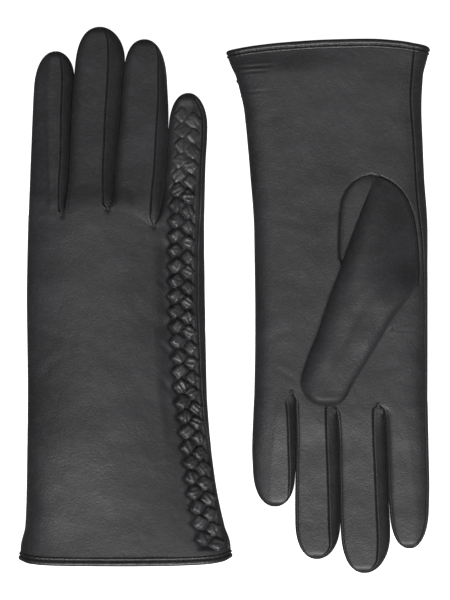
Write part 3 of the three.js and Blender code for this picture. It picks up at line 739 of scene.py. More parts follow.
# The thumb's two sides as rows of (y, x), and its height as places and values.
THUMB_LEFT = [(66.4, -24.6), (69.0, -30.4), (72.7, -34.9), (77.4, -38.4), (85.2, -41.4), (93, -42.9),
              (101.9, -43.9), (110.7, -44.4), (118.5, -43.8), (124.9, -40.3), (128.8, -37.0),
              (137.2, -30.8), (146, -25.7), (156.8, -19.1), (165.1, -13.9), (170, -11.0)]
THUMB_HEIGHTS = ([66.5, 70, 78, 90, 105, 118, 130, 170], [0.4, 1.2, 3.0, 5.2, 7.2, 8.1, 8.4, 8.0])
THUMB_RIGHT = [(66.4, -21.6), (69.5, -21.3), (80, -17.3), (92, -12.7), (105.3, -7.8), (110, -6.2),
               (116, -4.2), (123.4, -1.4), (134.2, 2.3), (145, 5.9), (153.3, 9.4), (160.2, 11.8),
               (165.1, 13.2), (170, 13.4)]


def oval_edges(y):
    """x of the oval's two sides at y."""
    table = np.array(OVAL)
    return np.interp(y, table[:, 0], table[:, 1]), np.interp(y, table[:, 0], table[:, 2])


def thumb_shift(glove):
    """How much nearer the cuff the thumb is set than the tables say."""
    return -2.0 if glove["back_up"] else 0.0


def thumb_bed(glove, x, y, up):
    """How far the palm is sunk where the thumb's oval is sewn in, and how strongly painted shade darkens its
    seam.
    """
    y = y - thumb_shift(glove)
    left, right = oval_edges(np.clip(y, 65.6, 118.5))
    inside = np.minimum(x - left, right - x)
    ends = np.where(y < 66, y - 66, np.where(y > 112, 0.8 * (118.5 - y), 9))
    inside = np.minimum(inside, ends)
    on_palm = (up > 0) != glove["back_up"]
    sunk = np.where(on_palm, 1.6 * soft_step(inside, -1.3, 0.9), 0) * (-1 if glove["back_up"] else 1)
    # The second value is painted shade along the oval's seam.
    return sunk, np.where(on_palm, 0.85 * soft_step(inside, -1.4, -0.6), 0)


def thumb_tip(y, table, starts, tip_x, tip_y):
    """x of one side of the thumb, which closes to its tip from where it starts to."""
    if y <= starts:
        return follow(table, y)
    x, slope = follow(table, starts), (follow(table, starts) - follow(table, starts - 4)) / 4
    t = (y - starts) / (tip_y - starts)
    x = x + slope * (y - starts) * (1 - t)
    return tip_x + (x - tip_x) * max(0.0, 1 - t**2.2) ** 0.5


def thumb_grid(glove, inset=0.0):
    """The folded thumb as a closed tube: one row per y, columns round from the oval's side."""
    tip_x, tip_y = 1.5, 179.2
    cap = 167 + 12.2 * np.sin(np.linspace(0, math.pi / 2, 24))[1:]
    ys = np.concatenate([np.linspace(66.5, 167, 130), cap])
    share = np.sin(np.linspace(-math.pi / 2, math.pi / 2, 56))
    rows = []
    for y in ys:
        left = thumb_tip(y, THUMB_LEFT, 165, tip_x, tip_y) + inset
        right = thumb_tip(y, THUMB_RIGHT, 164, tip_x, tip_y) - inset
        if inset:
            left = left + 0.4 * (right - left) * (1 - soft_step(y, 104, 130))
        right = max(right, left + 0.01)
        centre, half = halves(left, right)
        x = centre + half * share
        height = np.interp(y, *THUMB_HEIGHTS)
        height *= math.sqrt(max(0.0, 1 - max(0.0, (y - 173) / (tip_y - 173)) ** 2.8))
        free = soft_step(y, 104, 130)
        gentle = soft_step(x, left - 0.1 * (right - left), left + 0.8 * (right - left)) ** 0.85
        crease = np.sqrt(np.clip(1 - np.clip(share, 0, 1) ** 5, 0, 1))
        round_edge = (1 - np.abs(share) ** np.where(share < 0, 5.0, 3.0)) ** (1 / 2.3)
        top = (1 - free) * gentle * crease + free * round_edge
        foot = 0.6 * (1 - free) + free * 0.30 * height
        upper = foot + (height - foot) * top
        upper = upper - (1 - free) * 0.9 * np.exp(-(((x - left) / 0.55) ** 2))
        lower = foot - (foot + 0.15) * (1 - np.abs(share) ** 4) ** 0.5
        upper, lower = np.maximum(upper - inset, lower + 0.02), np.minimum(lower + inset, upper)
        worn = 0.22 * swell(x, y, 24, 11) * free + 0.03 * swell(x, y, 9, 12)
        worn = worn + 0.18 * free * np.exp(-(((x - left - 1.7) / 0.9) ** 2))
        groove = 0.40 * np.exp(-(((x - left - 0.55 * (right - left)) / 3.0) ** 2))
        groove *= soft_step(y, 118, 135) * (1 - soft_step(y, 150, 166))
        thick = np.clip(height / 6, 0, 1)
        upper = upper + (worn - groove) * np.clip(top, 0, 1) * thick
        up = np.column_stack([x, np.full_like(x, y), upper])
        down = np.column_stack([x, np.full_like(x, y), lower])[::-1][1:-1]
        rows.append(np.vstack([up, down]))
    grid = np.array(rows)
    for row in (0, -1):
        grid[row] = grid[row].mean(axis=0)
    grid[..., 1] += thumb_shift(glove)
    sunk = roll_off(glove, grid[..., 0], grid[..., 1]) * (1 - soft_step(grid[..., 1], 110, 134))
    if glove["back_up"]:
        grid[..., 2] = THUMB_LIFT - 0.2 - grid[..., 2] + sunk
    else:
        grid[..., 2] = HAND_HEIGHT - 0.2 + grid[..., 2] - sunk
    return grid


def thumb_pieces(glove):
    """The thumb's leather, its lining and the oval that stays flat in the palm."""
    name = glove["name"]
    shift = thumb_shift(glove)
    grid = thumb_grid(glove)
    faces = faced_out(grid, grid_faces(*grid.shape[:2], True, not glove["back_up"]))
    along = grid[..., 1] - shift
    from_edge = grid[..., 0] - grid[..., 0].min(axis=1)[:, None]
    free = soft_step(along, 112, 128)
    # Painted light on the thumb: painted shade darkens its tip and the edge along the oval's seam, and a
    # painted highlight lightens a line along its free edge.
    thumb_painted_light = -0.42 * soft_step(along, 168, 176)
    thumb_painted_light = thumb_painted_light - 0.85 * np.exp(-((from_edge / 0.55) ** 2)) * (1 - free)
    thumb_painted_light = thumb_painted_light + 0.6 * np.exp(-(((from_edge - 1.2) / 0.8) ** 2)) * free * (1 - soft_step(along, 160, 170))
    thumb = new_object(f"{name}_thumb_leather", down_in_metres(glove, grid), faces, glove_leather, thumb_painted_light)
    finish_sheet(thumb, THUMB_WALL, 60)
    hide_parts(f"{name}_thumb")
    inner = thumb_grid(glove, 1.3)
    lining = new_object(f"{name}_thumb_knit", down_in_metres(glove, inner), faces, knit_lining)
    finish_sheet(lining, THUMB_WALL, 60)
    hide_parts(f"{name}_thumb_lining")
    for piece in (thumb, lining):
        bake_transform(piece)
    ys = 65.9 + 51 * (1 - np.cos(np.linspace(0, math.pi, 64))) / 2
    share = np.sin(np.linspace(-math.pi / 2, math.pi / 2, 40))
    rows = []
    for y in ys:
        centre, half = halves(*oval_edges(y))
        reach = 1 - abs((y - 91.4) / 25.6) ** 7
        x = centre + half * share
        edge = (1 - np.abs(share) ** 9) * max(0.0, reach)
        z = -1.2 + 1.22 * np.sqrt(edge) + 0.04 * swell(x, y, 10, 21) - roll_off(glove, x, y + shift)
        rows.append(np.column_stack([x, np.full_like(x, y + shift), z]))
    patch = np.array(rows)
    patch[..., 2] = THUMB_LIFT - patch[..., 2] if glove["back_up"] else HAND_HEIGHT + patch[..., 2]
    gusset = sheet(glove, f"{name}_thumb_oval", patch, glove_leather, np.zeros(patch.shape[:2]),
                   flip=glove["back_up"])
    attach(gusset, f"{name}_hand")
    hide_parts(f"{name}_thumb_gusset")


# ---- Materials ----------------------------------------------------------------------------------
def new_group(name, inputs, outputs):
    """An empty node group with its inputs and outputs."""
    group = bpy.data.node_groups.new(name, "ShaderNodeTree")
    for label, kind, value in inputs:
        socket = group.interface.new_socket(label, in_out="INPUT", socket_type=kind)
        if value is not None:
            socket.default_value = value
    for label, kind in outputs:
        group.interface.new_socket(label, in_out="OUTPUT", socket_type=kind)
    return group, group.nodes.new("NodeGroupInput"), group.nodes.new("NodeGroupOutput")


def add_node(tree, kind, inputs=None, **settings):
    """A node with its settings, and each input linked or given its value."""
    node = tree.nodes.new(kind)
    for key, value in settings.items():
        setattr(node, key, value)
    for key, value in (inputs or {}).items():
        if isinstance(value, bpy.types.NodeSocket):
            tree.links.new(value, node.inputs[key])
        else:
            node.inputs[key].default_value = value
    return node


def maths(tree, operation, a, b=0.0):
    """The result of a sum on two values or sockets."""
    node = add_node(tree, "ShaderNodeMath", operation=operation)
    for socket, value in zip(node.inputs, (a, b)):
        if isinstance(value, bpy.types.NodeSocket):
            tree.links.new(value, socket)
        else:
            socket.default_value = value
    return node.outputs[0]


def remap(tree, value, low, high, out_low=0.0, out_high=1.0):
    """A value carried from one range to another."""
    ranges = {"Value": value, "From Min": low, "From Max": high, "To Min": out_low, "To Max": out_high}
    return add_node(tree, "ShaderNodeMapRange", ranges).outputs["Result"]


def build_grain_group():
    """Fine pebbled grain, faint stretch creases and uneven dye, for every leather here."""
    group, given, made = new_group(
        "leather grain",
        [("Place", "NodeSocketVector", None), ("Pebble", "NodeSocketFloat", 1100.0),
         ("Crease", "NodeSocketFloat", 1.0)],
        [("Height", "NodeSocketFloat"), ("Tone", "NodeSocketFloat"), ("Polish", "NodeSocketFloat")],
    )
    place = given.outputs["Place"]
    pebble = add_node(group, "ShaderNodeTexVoronoi", {"Vector": place, "Scale": given.outputs["Pebble"],
                                                      "Randomness": 0.9}, feature="F1")
    pores = add_node(group, "ShaderNodeTexNoise", {"Vector": place, "Scale": 2600.0, "Detail": 2.0})
    creases = add_node(group, "ShaderNodeTexNoise", {"Vector": place, "Scale": 210.0, "Detail": 5.0,
                                                     "Roughness": 0.62, "Distortion": 0.6})
    broad = add_node(group, "ShaderNodeTexNoise", {"Vector": place, "Scale": 55.0, "Detail": 3.0,
                                                   "Roughness": 0.55})
    dye = add_node(group, "ShaderNodeTexNoise", {"Vector": place, "Scale": 32.0, "Detail": 3.0})
    folds = maths(group, "ABSOLUTE", maths(group, "SUBTRACT", creases.outputs["Fac"], 0.5))
    folds = maths(group, "MULTIPLY", remap(group, folds, 0.0, 0.13), given.outputs["Crease"])
    height = maths(group, "MULTIPLY", maths(group, "POWER", pebble.outputs["Distance"], 1.6), -0.5)
    height = maths(group, "ADD", height, maths(group, "MULTIPLY", pores.outputs["Fac"], 0.3))
    height = maths(group, "ADD", height, maths(group, "MULTIPLY", folds, 0.28))
    height = maths(group, "ADD", height, maths(group, "MULTIPLY", broad.outputs["Fac"], 2.2))
    group.links.new(height, made.inputs["Height"])
    tone = maths(group, "ADD", remap(group, dye.outputs["Fac"], 0.3, 0.7, 0.0, 0.6),
                 maths(group, "MULTIPLY", folds, 0.4))
    group.links.new(tone, made.inputs["Tone"])
    polish = remap(group, broad.outputs["Fac"], 0.35, 0.65)
    group.links.new(polish, made.inputs["Polish"])
    return group


def leather(name, grain_group, dark, light, rough, pebble, crease, bump, coat):
    """Dyed leather: grain, uneven dye, ridges that shine and are lightened by wear and painted highlight,
    seams and crotches painted near-black as painted shade, and a thin satin finish.
    """
    material = bpy.data.materials.new(name)
    material.use_nodes = True
    tree = material.node_tree
    shader = tree.nodes["Principled BSDF"]
    place = add_node(tree, "ShaderNodeTexCoord").outputs["Object"]
    grain = add_node(tree, "ShaderNodeGroup", node_tree=grain_group)
    tree.links.new(place, grain.inputs["Place"])
    grain.inputs["Pebble"].default_value = pebble
    grain.inputs["Crease"].default_value = crease
    wear_and_painted_light = add_node(tree, "ShaderNodeAttribute", attribute_name="wear_and_painted_light").outputs["Fac"]
    # Wear and painted highlight lighten the colour where the point value is above 0.
    tone = maths(tree, "ADD", grain.outputs["Tone"], maths(tree, "MULTIPLY", wear_and_painted_light, 0.7))
    colour = add_node(tree, "ShaderNodeMix", data_type="RGBA")
    colour.inputs[6].default_value = (*dark, 1)
    colour.inputs[7].default_value = (*light, 1)
    tree.links.new(tone, colour.inputs[0])
    # Painted shade: where the point value is below 0 the colour is mixed towards near-black.
    groove = remap(tree, wear_and_painted_light, -0.9, -0.1, 1.0, 0.0)
    shaded = add_node(tree, "ShaderNodeMix", data_type="RGBA")
    shaded.inputs[7].default_value = (0.001, 0.001, 0.001, 1)
    tree.links.new(groove, shaded.inputs[0])
    tree.links.new(colour.outputs[2], shaded.inputs[6])
    tree.links.new(shaded.outputs[2], shader.inputs["Base Color"])
    gloss = maths(tree, "MULTIPLY", grain.outputs["Polish"], -0.09)
    gloss = maths(tree, "ADD", gloss, maths(tree, "MULTIPLY", wear_and_painted_light, -0.08))
    gloss = maths(tree, "ADD", gloss, maths(tree, "MULTIPLY", groove, 0.4))
    gloss = maths(tree, "ADD", gloss, rough + 0.05)
    tree.links.new(gloss, shader.inputs["Roughness"])
    relief = add_node(tree, "ShaderNodeBump", {"Height": grain.outputs["Height"], "Strength": bump,
                                               "Distance": 0.00016})
    tree.links.new(relief.outputs["Normal"], shader.inputs["Normal"])
    shader.inputs["Coat Weight"].default_value = coat
    shader.inputs["Coat Roughness"].default_value = 0.32
    shader.inputs["Sheen Weight"].default_value = 0.04
    shader.inputs["Sheen Roughness"].default_value = 0.5
    shader.inputs["IOR"].default_value = 1.46
    return material


def knit(name):
    """Fine ribbed knit."""
    material = bpy.data.materials.new(name)
    material.use_nodes = True
    tree = material.node_tree
    shader = tree.nodes["Principled BSDF"]
    place = add_node(tree, "ShaderNodeTexCoord").outputs["Object"]
    ribs = add_node(tree, "ShaderNodeTexWave", {"Vector": place, "Scale": 320.0, "Distortion": 0.8},
                    bands_direction="X")
    loops = add_node(tree, "ShaderNodeTexWave", {"Vector": place, "Scale": 420.0, "Distortion": 1.2},
                     bands_direction="Y")
    height = maths(tree, "MULTIPLY", ribs.outputs["Fac"], loops.outputs["Fac"])
    colour = add_node(tree, "ShaderNodeMix", data_type="RGBA")
    colour.inputs[6].default_value = (0.006, 0.006, 0.007, 1)
    colour.inputs[7].default_value = (0.022, 0.022, 0.024, 1)
    tree.links.new(height, colour.inputs[0])
    tree.links.new(colour.outputs[2], shader.inputs["Base Color"])
    tree.links.new(remap(tree, height, 0, 1, 0.95, 0.8), shader.inputs["Roughness"])
    relief = add_node(tree, "ShaderNodeBump", {"Height": height, "Strength": 0.8, "Distance": 0.0004})
    tree.links.new(relief.outputs["Normal"], shader.inputs["Normal"])
    shader.inputs["Sheen Weight"].default_value = 0.2
    return material


def thread(name):
    """Twisted sewing thread."""
    material = bpy.data.materials.new(name)
    material.use_nodes = True
    tree = material.node_tree
    shader = tree.nodes["Principled BSDF"]
    place = add_node(tree, "ShaderNodeTexCoord").outputs["Object"]
    twist = add_node(tree, "ShaderNodeTexWave", {"Vector": place, "Scale": 1500.0},
                     bands_direction="DIAGONAL")
    colour = add_node(tree, "ShaderNodeMix", data_type="RGBA")
    colour.inputs[6].default_value = (0.010, 0.010, 0.011, 1)
    colour.inputs[7].default_value = (0.040, 0.040, 0.043, 1)
    tree.links.new(twist.outputs["Fac"], colour.inputs[0])
    tree.links.new(colour.outputs[2], shader.inputs["Base Color"])
    tree.links.new(remap(tree, twist.outputs["Fac"], 0, 1, 0.6, 0.45), shader.inputs["Roughness"])
    shader.inputs["Sheen Weight"].default_value = 0.1
    return material


grain_group = build_grain_group()
glove_leather = leather("glove leather", grain_group, (0.013, 0.013, 0.0145), (0.030, 0.030, 0.033),
                        rough=0.46, pebble=1100.0, crease=1.0, bump=0.7, coat=0.12)
# The fourchettes are the glove's own leather, painted darker as the shade between the fingers.
side_leather_in_painted_shade = leather("fourchette leather in painted shade", grain_group, (0.009, 0.009, 0.010), (0.022, 0.022, 0.024),
                       rough=0.50, pebble=1100.0, crease=1.0, bump=0.8, coat=0.05)
hem_leather = leather("hem leather", grain_group, (0.008, 0.008, 0.009), (0.024, 0.024, 0.026),
                      rough=0.36, pebble=1300.0, crease=1.4, bump=0.9, coat=0.15)
plaited_leather = leather("plaited leather", grain_group, (0.012, 0.012, 0.013), (0.040, 0.040, 0.043),
                          rough=0.40, pebble=900.0, crease=2.0, bump=1.0, coat=0.2)
knit_lining = knit("knit lining")
sewing_thread = thread("sewing thread")


# ---- Leather shells -----------------------------------------------------------------------------
def bend_points(glove, finger):
    """Two points on a finger's middle line, a little past the crotch line and 19 further along."""
    start = glove["hand_end"] + (6 if glove["back_up"] else 4)
    end = start + 19
    x = (finger["left"][0][1] + finger["right"][0][1]) / 2
    return spot(glove, x, start, 8), spot(glove, x, end, 8)


def leather_pieces(glove):
    """Makes the leather of one glove and returns points all over the outside of its back."""
    name = glove["name"]
    skins = []
    first_rows = {}
    for key, grid, order in zip(("back", "palm"), hand_panels(glove), (FINGER_ORDER, FINGER_ORDER[::-1])):
        grid, wear_and_painted_light = press(glove, grid, key)
        spans = [GROUP_COUNTS[n] + 2 * len(SEAM_COLUMNS) - 1 for n in order]
        marks = np.concatenate([[0], np.cumsum(spans)])
        for i, finger in enumerate(order):
            first_rows[finger, key] = grid[-1, marks[i] : marks[i + 1] + 1]
        piece = sheet(glove, f"{name}_{key}_leather", grid, glove_leather, wear_and_painted_light)
        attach(piece, f"{name}_hand")
        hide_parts(f"{name}_{key}_panel")
        skins.append((grid, key))
    for finger in glove["fingers"]:
        grids = finger_panels(glove, finger)
        tip = np.mean([grid[-1].mean(axis=0) for grid in grids.values()], axis=0)
        for key, grid in grids.items():
            along = grid[:, :, 1].mean(axis=1) - glove["hand_end"]
            grown = soft_step(along, 0.2, 3.0)
            whole = np.ones_like(along)
            faint = 0.25 * grown
            panel, strip = {1: ("back", "outer"), -1: ("palm", "inner"), 0: ("", "")}[finger["strip"]]
            start = grown if key == strip else faint
            end = grown if key == panel else faint
            if (finger["name"], key) in (("index", "back"), ("little", "palm")):
                start = whole
            if (finger["name"], key) in (("little", "back"), ("index", "palm")):
                end = whole
            closing = soft_step(finger["tip"][1] - grid[:, :, 1].mean(axis=1), 0.3, 5)
            grid, wear_and_painted_light = press(glove, grid, key, start * closing, end * closing)
            if key in ("back", "palm"):
                row = first_rows[finger["name"], key]
                ease = np.clip(1 - np.arange(len(grid)) / 6.0, 0, 1)[:, None, None]
                grid = grid + (row - grid[0])[None] * ease
            grid[-1] = tip
            full = {"outer": "fourchette_outer", "inner": "fourchette_inner"}.get(key, key)
            # Fourchettes take the darker leather, painted shade between the fingers.
            material = side_leather_in_painted_shade if key in ("outer", "inner") else glove_leather
            piece = sheet(glove, f"{name}_{finger['name']}_{full}_leather", grid, material, wear_and_painted_light)
            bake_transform(piece)
            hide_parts(f"{name}_{finger['name']}_{full}")
            skins.append((grid, key))
    return np.vstack([grid[normals_of(grid)[..., 2] > 0.3] for grid, key in skins if key == "back"])


def tube_lining(glove, piece_name, rows, node, bodies, bend=None):
    """A knitted tube; one that goes with a finger is closed at its tip and left unattached, the others are
    attached to their body.
    """
    grid = np.array(rows)
    if bend:
        grid[-1] = grid[-1].mean(axis=0)
    faces = grid_faces(*grid.shape[:2], True, not glove["back_up"])
    piece = new_object(piece_name, down_in_metres(glove, grid), faces, knit_lining)
    finish_sheet(piece, KNIT_WALL, 60)
    if bend:
        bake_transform(piece)
    else:
        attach(piece, bodies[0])
    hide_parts(node)


def inset_loop(back, palm, inset, count):
    """Points round a section, a little inside it."""
    run, length = loop_of(back, palm)
    p, outward = out_of_loop(run, length, np.linspace(0, length[-1], count, endpoint=False), 0.4)
    return p - outward * inset


def lining_pieces(glove):
    """The knitted bag of the hand and of each finger."""
    name = glove["name"]
    rows = []
    for y in np.linspace(2.6, glove["hand_end"] - 1, 60):
        back, palm = hand_section(glove, y)
        p = inset_loop(back, palm, 1.4 + 1.6 * soft_step(y, 4, 10), 120)
        eased = (y / glove["hand_end"]) ** CROTCH_BEND
        shift = follow(glove["warp"], p[:, 0]) * eased + rim_shift(glove, p[:, 0], y)
        rows.append(np.column_stack([p[:, 0], y + shift, p[:, 1]]))
    tube_lining(glove, f"{name}_hand_knit", rows, f"{name}_hand_lining", [f"{name}_hand"])
    marks = finger_marks(glove)
    for order, finger in enumerate(glove["fingers"]):
        rows = []
        for y in finger_rows(glove, finger)[6::3]:
            if y > finger["tip"][1] - 3.5:
                break
            back, palm, _, left, right = finger_section(glove, finger, y, marks[order], marks[order + 1])
            p = inset_loop(back, palm, min(2.2, 0.2 * (right - left)), 48)
            eased = warp_left(glove, y)
            rows.append(np.column_stack([p[:, 0], y + follow(glove["warp"], p[:, 0]) * eased, p[:, 1]]))
        bodies = (f"{name}_hand", f"{name}_{finger['name']}")
        tube_lining(glove, f"{name}_{finger['name']}_knit", rows, f"{name}_{finger['name']}_lining",
                    bodies, bend_points(glove, finger))


# ---- The hem ------------------------------------------------------------------------------------
def hem_profile():
    """Closed outline of the folded hem as (y, how far out): two rounded ridges and a stitched groove."""
    points = [(4.45, -0.3)]
    for centre, radius in ((3.5, 0.84), (1.25, 1.32)):
        for angle in np.linspace(0.12 * math.pi, 0.88 * math.pi, 9):
            points.append((centre + radius * math.cos(angle), 0.86 * math.sin(angle) * radius**0.6 - 0.15))
    points += [(-0.08, -0.1), (-0.16, -0.55), (0.0, -1.05), (0.6, -1.35), (2.2, -1.4), (4.3, -1.3)]
    return np.array(points)


def hem_loop(glove, y, count):
    """Points round the cuff, a unit step out at each, and how far round each one is."""
    run, length = loop_of(*hand_section(glove, max(y, 0.0)))
    places = np.linspace(0, length[-1], count, endpoint=False)
    return *out_of_loop(run, length, places, 0.5), places


def hem_piece(glove):
    """The folded hem, a closed ring pulled in a little by each stitch."""
    name = glove["name"]
    rows = []
    for y, out in hem_profile():
        p, outward, places = hem_loop(glove, y, HEM_PLACES)
        pull = 0.12 * np.sin(places * 2 * math.pi / HEM_STITCH)
        pull = pull * (0.25 + 0.75 * math.exp(-(((y - 2.6) / 0.7) ** 2)))
        q = p + outward * (out + pull + 0.05 * swell(places, y * 4, 12, 31))[:, None]
        rows.append(np.column_stack([q[:, 0], y + rim_shift(glove, q[:, 0], y), q[:, 1]]))
    grid = np.array(rows + rows[:1])
    faces = faced_out(grid, grid_faces(*grid.shape[:2], True, False))
    plain = np.zeros(grid.shape[:2])
    hem = new_object(f"{name}_hem", down_in_metres(glove, grid), faces, hem_leather, plain)
    merge_doubles(hem)
    only(hem)
    bpy.ops.object.shade_smooth_by_angle(angle=math.radians(70))
    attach(hem, f"{name}_hand")
    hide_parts(f"{name}_cuff_binding")


# ---- Stitches and plait -------------------------------------------------------------------------
def model_stitch():
    """One stitch lying along X, a millimetre-sized grain of thread."""
    bpy.ops.object.select_all(action="DESELECT")
    bpy.ops.mesh.primitive_uv_sphere_add(segments=8, ring_count=6, radius=0.5)
    stitch = bpy.context.object
    bpy.ops.object.mode_set(mode="EDIT")
    bpy.ops.mesh.select_all(action="SELECT")
    bpy.ops.transform.rotate(value=math.pi / 2, orient_axis="Y", center_override=(0, 0, 0))
    bpy.ops.transform.resize(value=(1.5, 0.42, 0.36))
    bpy.ops.object.mode_set(mode="OBJECT")
    return taken(stitch)


def model_pad():
    """One puffed lozenge of thong, a millimetre across each way, seen from above."""
    bpy.ops.object.select_all(action="DESELECT")
    bpy.ops.mesh.primitive_cube_add(size=1.0)
    pad = bpy.context.object
    bpy.ops.object.mode_set(mode="EDIT")
    bpy.ops.mesh.select_all(action="SELECT")
    bpy.ops.mesh.subdivide(number_cuts=9, smoothness=0.0)
    bpy.ops.object.mode_set(mode="OBJECT")
    for vertex in pad.data.vertices:
        u, v, h = vertex.co * 2
        reach = max(abs(u), abs(v), 1e-6)
        corner = (abs(u) ** 6 + abs(v) ** 6) ** (1 / 6)
        shrink = reach / max(corner, 1e-6)
        edge = min(1.0, reach)
        puff = (1 - edge**4.6) ** 0.6 if edge < 1 else 0.0
        side = 1 - 0.10 * abs(h) ** 2
        vertex.co = (u * shrink * side / 2, v * shrink * side / 2, h / 2 * (0.34 + 0.66 * puff))
    return taken(pad)


def taken(piece):
    """A small shape's points and faces, and the shape itself put away."""
    points = np.array([v.co for v in piece.data.vertices])
    faces = [list(p.vertices) for p in piece.data.polygons]
    bpy.data.objects.remove(piece)
    return points, faces


def scatter(glove, name, shape, frames, material, body, bend=None, node=None, work=None):
    """Copies a small shape to many places: a frame is (centre, along, across, up, sizes)."""
    base, faces = shape
    points, quads, wear_and_painted_lights = [], [], []
    for i, (centre, along, across, up, sizes) in enumerate(frames):
        local = base * sizes
        wear_and_painted_light = np.zeros(len(base))
        if work:
            local, wear_and_painted_light = work(local, base, i)
        matrix = np.array([along, across, up])
        points.append(local @ matrix + centre)
        offset = i * len(base)
        flip = np.linalg.det(matrix) < 0
        quads.extend([[j + offset for j in (f[::-1] if flip else f)] for f in faces])
        wear_and_painted_lights.append(wear_and_painted_light)
    piece = new_object(name, down_in_metres(glove, np.vstack(points)), quads, material, np.concatenate(wear_and_painted_lights))
    only(piece)
    bpy.ops.object.shade_smooth()
    if bend:
        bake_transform(piece)
    else:
        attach(piece, body)
    if node:
        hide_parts(node)


def unit(v):
    """A vector one long."""
    return v / max(np.linalg.norm(v), 1e-9)


def skin_at(skin, x, y):
    """z of the back's surface at x, y."""
    return skin[np.argmin(np.hypot(skin[:, 0] - x, skin[:, 1] - y)), 2]


def crumple(local, base, i):
    """Wrinkles across a thong, different on each copy, with a painted highlight lightening their crests."""
    rng = np.random.RandomState(400 + i)
    heading = rng.uniform(-0.5, 0.5) + (0.9 if i % 2 else -0.9)
    u = base[:, 0] * math.cos(heading) + base[:, 1] * math.sin(heading)
    pace = rng.uniform(14, 22)
    face = np.clip(base[:, 2] * 3, 0, 1)
    inside = np.clip(1 - (np.hypot(base[:, 0], base[:, 1]) * 1.7) ** 4, 0, 1)
    amount = rng.uniform(0.12, 0.34) * min(1.0, np.ptp(local[:, 2]) / 4.5)
    fold = np.sin(u * pace + rng.uniform(0, 6.28) + 2.2 * base[:, 1])
    local = local.copy()
    local[:, 2] += amount * fold * face * inside
    local[:, 2] += (rng.uniform(-1.2, 1.2) * base[:, 0] + rng.uniform(-1.0, 1.0) * base[:, 1]) * face
    # A painted highlight on the wrinkles' crests, by a random amount on each copy.
    wear_and_painted_light = np.clip(fold * 0.5 + 0.4, 0, 1) * face * inside * rng.uniform(0.2, 1.0)
    return local, wear_and_painted_light


def plait_pieces(glove, skin, pad):
    """Two columns of pads laid on the back along the plait, which lean towards each other."""
    name = glove["name"]
    frames = {"hand": [], "little": []}
    top = glove["plait"][-1][0] - 1.5
    rng = np.random.RandomState(17 if glove["back_up"] else 18)
    turn = 1 if glove["back_up"] else -1
    for column, side in ((0, -1), (1, 1)):
        for place in np.arange(PLAIT_START - 3.2 * column, top, PLAIT_PITCH):
            y = place + rng.uniform(-0.25, 0.25)
            centre = follow(glove["plait"], y)
            heading = unit(np.array([follow(glove["plait"], y + 3) - follow(glove["plait"], y - 3), 6.0]))
            x = centre + side * 2.8 + rng.uniform(-0.45, 0.45)
            z = skin_at(skin, x, y)
            puffed = 1 - 0.68 * soft_step(y, 180, 194)
            lean = side * 0.78 + rng.uniform(-0.16, 0.16)
            aside = np.array([heading[1], -heading[0]])
            flat_along = aside * math.cos(lean) + heading * math.sin(lean) * -1
            flat_across = aside * math.sin(lean) + heading * math.cos(lean)
            slope_x = (skin_at(skin, x + 2, y) - skin_at(skin, x - 2, y)) / 4
            slope_y = (skin_at(skin, x, y + 3) - skin_at(skin, x, y - 3)) / 6
            slope = np.array([np.clip(slope_x, -0.4, 0.4), np.clip(slope_y, -0.3, 0.3)])
            up = unit(np.array([*-slope, 1.0])) * turn
            along = unit(np.array([*flat_along, slope @ flat_along]))
            across = unit(np.array([*flat_across, slope @ flat_across]))
            wide, deep = rng.uniform(6.6, 7.4), rng.uniform(6.0, 6.8)
            size = np.array([wide, deep, 5.0 * puffed * rng.uniform(0.8, 1.15)])
            pad_centre = np.array([x, y, z]) + up * 0.35 * puffed
            body = "little" if y > glove["hand_end"] + 1 else "hand"
            frames[body].append((pad_centre, along, across, up, size))
    scatter(glove, f"{name}_plait_thongs", pad, frames["hand"], plaited_leather, f"{name}_hand",
            node=f"{name}_plait", work=crumple)
    finger = glove["fingers"][3]
    scatter(glove, f"{name}_little_plait_thongs", pad, frames["little"], plaited_leather,
            (f"{name}_hand", f"{name}_little"), bend=bend_points(glove, finger),
            node=f"{name}_little_plait", work=crumple)


def hem_stitches(glove, stitch):
    """Thread in the hem's groove and along its inner edge."""
    frames = []
    for y, out in ((2.62, 0.12), (4.62, 0.0)):
        p, outward, places = hem_loop(glove, y, 2000)
        run = np.diff(np.vstack([p, p[:1]]), axis=0)
        step = max(1, int(HEM_STITCH / (places[1] - places[0])))
        for i in range(0, len(p), step):
            along = unit(np.array([run[i, 0], 0, run[i, 1]]))
            up = unit(np.array([outward[i, 0], 0, outward[i, 1]]))
            across = np.cross(up, along)
            q = p[i] + outward[i] * out
            centre = np.array([q[0], y + rim_shift(glove, q[0], y), q[1]])
            frames.append((centre, along, across, up, np.array([1.0, 1.0, 1.0])))
    scatter(glove, f"{glove['name']}_hem_stitches", stitch, frames, sewing_thread, f"{glove['name']}_hand")


def tack_stitches(glove, stitch):
    """Small knots of thread where the fingers part, and one beside the thumb on the palm side up."""
    rng = np.random.RandomState(61)
    places = [(x, glove["hand_end"] + follow(glove["warp"], x) + 0.7) for x in glove["crotches"]]
    if not glove["back_up"]:
        places.append(THUMB_TACK)
    frames = []
    for x, y in places:
        high = hand_levels(glove, x, min(y, glove["hand_end"]))[1]
        for _ in range(5):
            turn = rng.uniform(0, math.pi)
            along = np.array([math.cos(turn), math.sin(turn), 0.0])
            across = np.array([-math.sin(turn), math.cos(turn), 0.0])
            shift = np.array([rng.uniform(-0.5, 0.5), rng.uniform(-0.5, 0.7), rng.uniform(-0.1, 0.2)])
            frames.append((shift + (x, y, high), along, across, np.array([0, 0, 1.0]), np.array(TACK_SIZES)))
    scatter(glove, f"{glove['name']}_tack_stitches", stitch, frames, sewing_thread, f"{glove['name']}_hand")


# ---- Make both gloves ---------------------------------------------------------------------------
stitch_shape = model_stitch()
pad_shape = model_pad()
for glove in (RIGHT, LEFT):
    skin = leather_pieces(glove)
    lining_pieces(glove)
    thumb_pieces(glove)
    hem_piece(glove)
    hem_stitches(glove, stitch_shape)
    tack_stitches(glove, stitch_shape)
    plait_pieces(glove, skin, pad_shape)

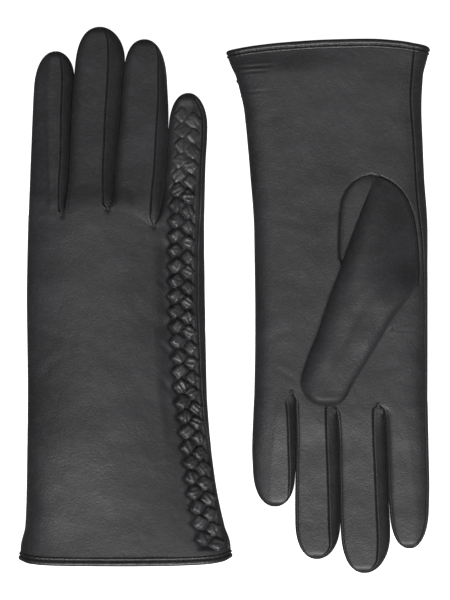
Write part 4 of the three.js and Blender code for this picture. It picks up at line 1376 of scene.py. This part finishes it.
# ---- Table, light and camera --------------------------------------------------------------------
bpy.ops.object.select_all(action="DESELECT")
bpy.ops.mesh.primitive_plane_add(size=6.0, location=(0, 0, -TABLE_DROP))
table_top = bpy.context.object
table_top.name = "table_top"
white = bpy.data.materials.new("white table")
white.use_nodes = True
tree = white.node_tree
bright = tree.nodes["Principled BSDF"]
bright.inputs["Base Color"].default_value = (0.93, 0.93, 0.93, 1)
bright.inputs["Roughness"].default_value = 0.9
bright.inputs["Emission Color"].default_value = (1, 1, 1, 1)
bright.inputs["Emission Strength"].default_value = 1.0
dim = add_node(tree, "ShaderNodeBsdfDiffuse", {"Color": (0.16, 0.16, 0.16, 1)})
seen = add_node(tree, "ShaderNodeLightPath").outputs["Is Camera Ray"]
mixed = add_node(tree, "ShaderNodeMixShader", {0: seen})
tree.links.new(dim.outputs[0], mixed.inputs[1])
tree.links.new(bright.outputs[0], mixed.inputs[2])
tree.links.new(mixed.outputs[0], tree.nodes["Material Output"].inputs["Surface"])
table_top.data.materials.append(white)


def soft_light(name, place, size, power):
    """A soft box that shines at the middle of the pair."""
    data = bpy.data.lights.new(name, "AREA")
    data.shape = "RECTANGLE"
    data.size, data.size_y = size
    data.energy = power
    light = bpy.data.objects.new(name, data)
    light.location = place
    light.rotation_euler = (-Vector(place)).to_track_quat("-Z", "Y").to_euler()
    bpy.context.scene.collection.objects.link(light)


soft_light("key", (0.0, -1.5, 1.9), (1.6, 0.9), 62)
soft_light("overhead", (0.0, 0.1, 2.9), (1.6, 1.6), 8)
world = bpy.data.worlds.new("studio")
bpy.context.scene.world = world
world.use_nodes = True
sky = world.node_tree.nodes["Background"]
sky.inputs["Color"].default_value = (0.9, 0.9, 0.9, 1)
sky.inputs["Strength"].default_value = 0.12

camera_data = bpy.data.cameras.new("camera")
camera = bpy.data.objects.new("camera", camera_data)
bpy.context.scene.collection.objects.link(camera)
camera_data.lens = 300
camera_data.sensor_width = 36
camera.location = (-0.0005, 0.0, 2.46)
camera_data.clip_start, camera_data.clip_end = 0.1, 20
bpy.context.scene.camera = camera
bpy.context.scene.view_settings.view_transform = "Standard"
